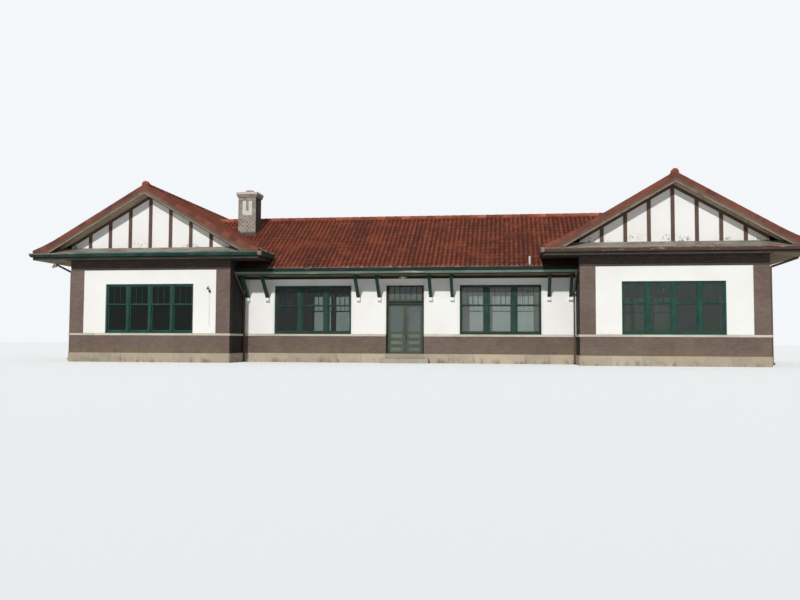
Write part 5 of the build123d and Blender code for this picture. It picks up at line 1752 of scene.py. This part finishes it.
    def build(self) -> None:
        """Make every piece of the eaves."""
        self.soffits()
        self.fascias()
        self.pent_boards()
        self.straps()
        self.lips()
        self.leaders()
        self.pipe_clips()


# Chimney and lamps


@dataclass
class Chimney:
    """The chimney's bricks, its pale two-slot niche, cap and flue, and the lead at its foot."""

    walls: Walls
    x: float = -7.785
    y: float = -1.2
    half_width: float = 0.425
    half_depth: float = 0.40
    top: float = 7.70992
    niche_half: float = 0.24
    niche_low: float = 6.84992
    niche_high: float = 7.55992
    bar_half: float = 0.055
    bar_low: float = 7.07992
    niche_depth: float = 0.06
    plaster: float = 0.035
    foot: float = 5.0
    cap_top: float = 7.93992
    flue_radius: float = 0.19
    header_half: float = 0.048
    header_low: float = 6.105
    header_rise: float = 0.0938
    header_height: float = 0.06
    header_rows: int = 8
    lead_step: float = 0.067
    lead_height: float = 0.20
    lead_out: float = 0.009

    def build(self) -> None:
        """Make the chimney's pieces."""
        w, d, n, b = self.half_width, self.half_depth, self.niche_half, self.bar_half
        south = Facing((self.x, self.y - d, 0.0), X)
        north = Facing((self.x, self.y + d, 0.0), (-1.0, 0.0, 0.0))
        east = Facing((self.x + w, self.y, 0.0), Y)
        west = Facing((self.x - w, self.y, 0.0), (0.0, -1.0, 0.0))
        # The chimney's east face gets the brick darkened as painted shade.
        bricks, east_shade_bricks = Making("chimney_bricks"), Making("chimney_east_bricks")
        for making, run, low, high in (
                (bricks, (south, -w, w), self.foot, self.niche_low),
                (bricks, (south, -w, w), self.niche_high, self.top),
                (bricks, (south, -w, -n), self.niche_low, self.niche_high),
                (bricks, (south, n, w), self.niche_low, self.niche_high),
                (bricks, (south, -b, b), self.bar_low, self.niche_high),
                (bricks, (north, -w, w), self.foot, self.top),
                (east_shade_bricks, (east, -d, d), self.foot, self.top),
                (bricks, (west, -d, d), self.foot, self.top)):
            self.walls.lay_bricks(making, run, low, high)
        bricks.made(CHIMNEY_BRICK, "chimney_brick")
        east_shade_bricks.made(SHADE_PAINTED_BRICK, "chimney_brick")
        headers, plaster = Making("chimney_headers"), Making("niche_plaster")
        for row in range(self.header_rows):
            middles = np.arange(-0.285 + 0.095 * (row % 2), 0.30, 0.19)
            low = self.header_low + self.header_rise * row
            headers.blocks(south, middles - self.header_half, middles + self.header_half, low,
                           low + self.header_height, 0.014, 0.003)
        headers.made(PALE_HEADER, "chimney_brick")
        plaster.blocks(south, [-n, b, -b], [-b, n, b], self.niche_low,
                       [self.niche_high, self.niche_high, self.bar_low], self.plaster, 0.0,
                       base=-self.niche_depth)
        plaster.made(NICHE_PLASTER, "cap_stone")
        self.cap()
        self.flashing(south, north, east, west)

    def cap(self) -> None:
        """Step two courses of brick out under the slab, and slope mortar up to the flue."""
        corbel, mortar, flue = Making("cap_courses"), Making("cap_mortar"), Making("flue_rim")
        for rise, grow in ((0.030, 0.050), (0.097, 0.070)):
            corbel.boxes((self.x, self.y, self.top + rise),
                         (self.half_width + grow, self.half_depth + grow, 0.028))
        middle, radius = (self.x, self.y, self.cap_top), self.flue_radius
        mortar.blocks(Facing(middle, X, Y), -0.44, 0.44, -0.42, 0.42, 0.055, 0.16)
        wall = np.array([[radius - 0.030, 0.02], [radius + 0.006, 0.02],
                         [radius + 0.006, 0.125], [radius, 0.133], [radius - 0.022, 0.133],
                         [radius - 0.030, 0.12]])
        flue.skin(revolve(middle, wall, 33), closed=True)
        corbel.made(CHIMNEY_BRICK, "chimney_brick")
        mortar.made(CAP_STONE, "cap_stone")
        flue.made(FLUE_CLAY, "chimney_brick", smooth_degrees=40)

    def flashing(self, *faces: Facing) -> None:
        """Step lead up the chimney's four sides where the roofs meet it.

        The lead's foot follows the higher of the two roofs there.
        """
        plan, out = self.walls.plan, self.lead_out
        making = Making("chimney_lead")
        for face in faces:
            half = self.half_width if face.along[1] == 0 else self.half_depth
            along = np.linspace(-half - 0.006, half + 0.006, 25)
            spot = face.place(along, 0.0)
            roof = np.maximum(plan.hall_deck(spot[:, 1]),
                              RoofLine().height(np.abs(spot[:, 0]) - plan.pavilion_x))
            step = np.floor(roof / self.lead_step) * self.lead_step + self.lead_height
            making.skin(np.stack([face.place(along, roof - 0.02, out),
                                  face.place(along, step, out), face.place(along, step)]))
        making.made(CEMENT, "pale_metal")


@dataclass
class Lamps:
    """Small pieces that dress the lamps: the dish's bulb and the swan neck's conduit."""

    dish_y: float = -4.25
    dish_z: float = 3.63
    bulb_radius: float = 0.045
    bulb_drop: float = 0.055
    conduit_x: float = -8.15
    conduit_y: float = -5.248
    conduit_low: float = 1.55
    conduit_high: float = 2.99
    conduit_radius: float = 0.008

    def build(self) -> None:
        """Make the bulb, the conduit and its clips."""
        bulb, conduit = Making("lamp_bulb"), Making("lamp_conduit")
        angle = np.radians(np.linspace(90.0, 5.0, 7))
        section = np.stack([self.bulb_radius * np.sin(angle), -self.bulb_drop * np.cos(angle)], -1)
        points = revolve((0.0, self.dish_y, self.dish_z), section, 17)
        bulb.skin(points.swapaxes(0, 1), flip=True)
        bulb.made(BULB, "lamp_metal", smooth_degrees=60)
        path = np.array([[self.conduit_x, self.conduit_y, self.conduit_high],
                         [self.conduit_x, self.conduit_y, self.conduit_low]])
        conduit.sweep(ring_section(self.conduit_radius, 8), path, X, Y)
        for height in (1.62, 2.05, 2.5, 2.9):
            conduit.boxes((self.conduit_x, self.conduit_y + 0.002, height),
                          (0.02, 0.0085, 0.008))
        conduit.made(PALE_METAL, "lamp_metal", smooth_degrees=40)


# Studio


@dataclass
class Studio:
    """Pale floor, soft light and a camera at the photograph's angle."""

    camera_place: Vec = (4.35, -37.25, 0.95)
    focal: float = 788.0
    picture: float = 800.0
    sensor: float = 36.0
    far: float = 500.0
    yaw: float = 0.1346
    pitch: float = 0.0519
    roll: float = 0.0042
    sky: float = 0.29
    sun: float = 2.36
    sun_azimuth: float = 8.0
    sun_height: float = 29.0
    sun_softness: float = 1.6
    floor_size: float = 220.0
    floor_glow: float = 0.27

    def camera(self) -> None:
        """Stand the camera: yaw turns it left, pitch up, and roll about its own view."""
        yaw, pitch, roll = self.yaw, self.pitch, self.roll
        look = Vector((-math.sin(yaw) * math.cos(pitch), math.cos(yaw) * math.cos(pitch),
                       math.sin(pitch)))
        right = Vector((math.cos(yaw), math.sin(yaw), 0.0))
        up = right.cross(look)
        level = math.cos(roll) * right + math.sin(roll) * up
        upright = -math.sin(roll) * right + math.cos(roll) * up
        data = bpy.data.cameras.new("camera")
        data.sensor_width, data.clip_end = self.sensor, self.far
        data.lens = self.focal / self.picture * self.sensor
        camera = show("camera", data)
        camera.matrix_world = (Matrix.Translation(Vector(self.camera_place))
                               @ Matrix((level, upright, -look)).transposed().to_4x4())
        bpy.context.scene.camera = camera

    def lights(self) -> None:
        """Light the scene with an even sky and one broad soft sun from the front left."""
        data = bpy.data.lights.new("soft_sun", "SUN")
        data.energy, data.angle = self.sun, math.radians(self.sun_softness)
        data.color = (1.0, 0.985, 0.96)
        azimuth, height = math.radians(self.sun_azimuth), math.radians(self.sun_height)
        toward = Vector((-math.sin(azimuth) * math.cos(height),
                         -math.cos(azimuth) * math.cos(height), math.sin(height)))
        show("soft_sun", data).rotation_euler = toward.to_track_quat("Z", "Y").to_euler()
        world = bpy.data.worlds.new("studio")
        world.use_nodes = True
        bpy.context.scene.world = world
        world.node_tree.nodes.clear()
        nodes = Nodes(world.node_tree)
        camera, glossy, through = (nodes.add("LightPath", f"Is {ray} Ray")
                                   for ray in ("Camera", "Glossy", "Transmission"))
        light = nodes.add("Background", 0, {"Color": (0.95, 0.98, 1.0), "Strength": self.sky})
        seen = nodes.add("Background", 0, {"Color": (0.90, 0.93, 0.96)})
        direct = nodes.combine("MAXIMUM", nodes.combine("MAXIMUM", camera, glossy), through)
        nodes.put(world.node_tree.nodes.new("ShaderNodeOutputWorld").inputs[0],
                  nodes.add("MixShader", 0, {0: direct, 1: light, 2: seen}))

    def floor(self) -> None:
        """Lay a wide pale floor."""
        mesh = bpy.data.meshes.new("studio_floor")
        mesh.from_pydata([(x, y, 0.0) for x, y in self.floor_size * np.array(
            [(-1, -1), (1, -1), (1, 1), (-1, 1)])], [], [(0, 1, 2, 3)])
        shading = Shading("pale_floor")
        glow = shading.times(shading.add("LightPath", "Is Camera Ray"), self.floor_glow)
        shading.surface(Base_Color=(0.84, 0.85, 0.86), Roughness=0.9,
                        Emission_Color=(0.96, 0.98, 1.0), Emission_Strength=glow)
        mesh.materials.append(shading.material)
        floor = show("studio_floor", mesh)

    def build(self) -> None:
        """Set the studio up."""
        self.camera()
        self.lights()
        self.floor()
        bpy.context.scene.view_settings.view_transform = "Standard"


def main() -> None:
    """Build the station's pieces in order."""
    logging.basicConfig(level=logging.INFO, format="%(name)s: %(message)s")
    plan = Plan()
    Studio().build()
    dress_nodes()
    walls, windows, doors = Walls(plan), Windows(plan), Doors(plan)
    walls.bricks()
    walls.base_blocks()
    walls.sill_stones()
    walls.casings(windows.openings() + doors.openings())
    windows.build()
    doors.build()
    TiledRoofs(plan).build()
    Eaves(plan).build()
    Chimney(walls).build()
    Lamps().build()


if __name__ == "__main__":
    main()
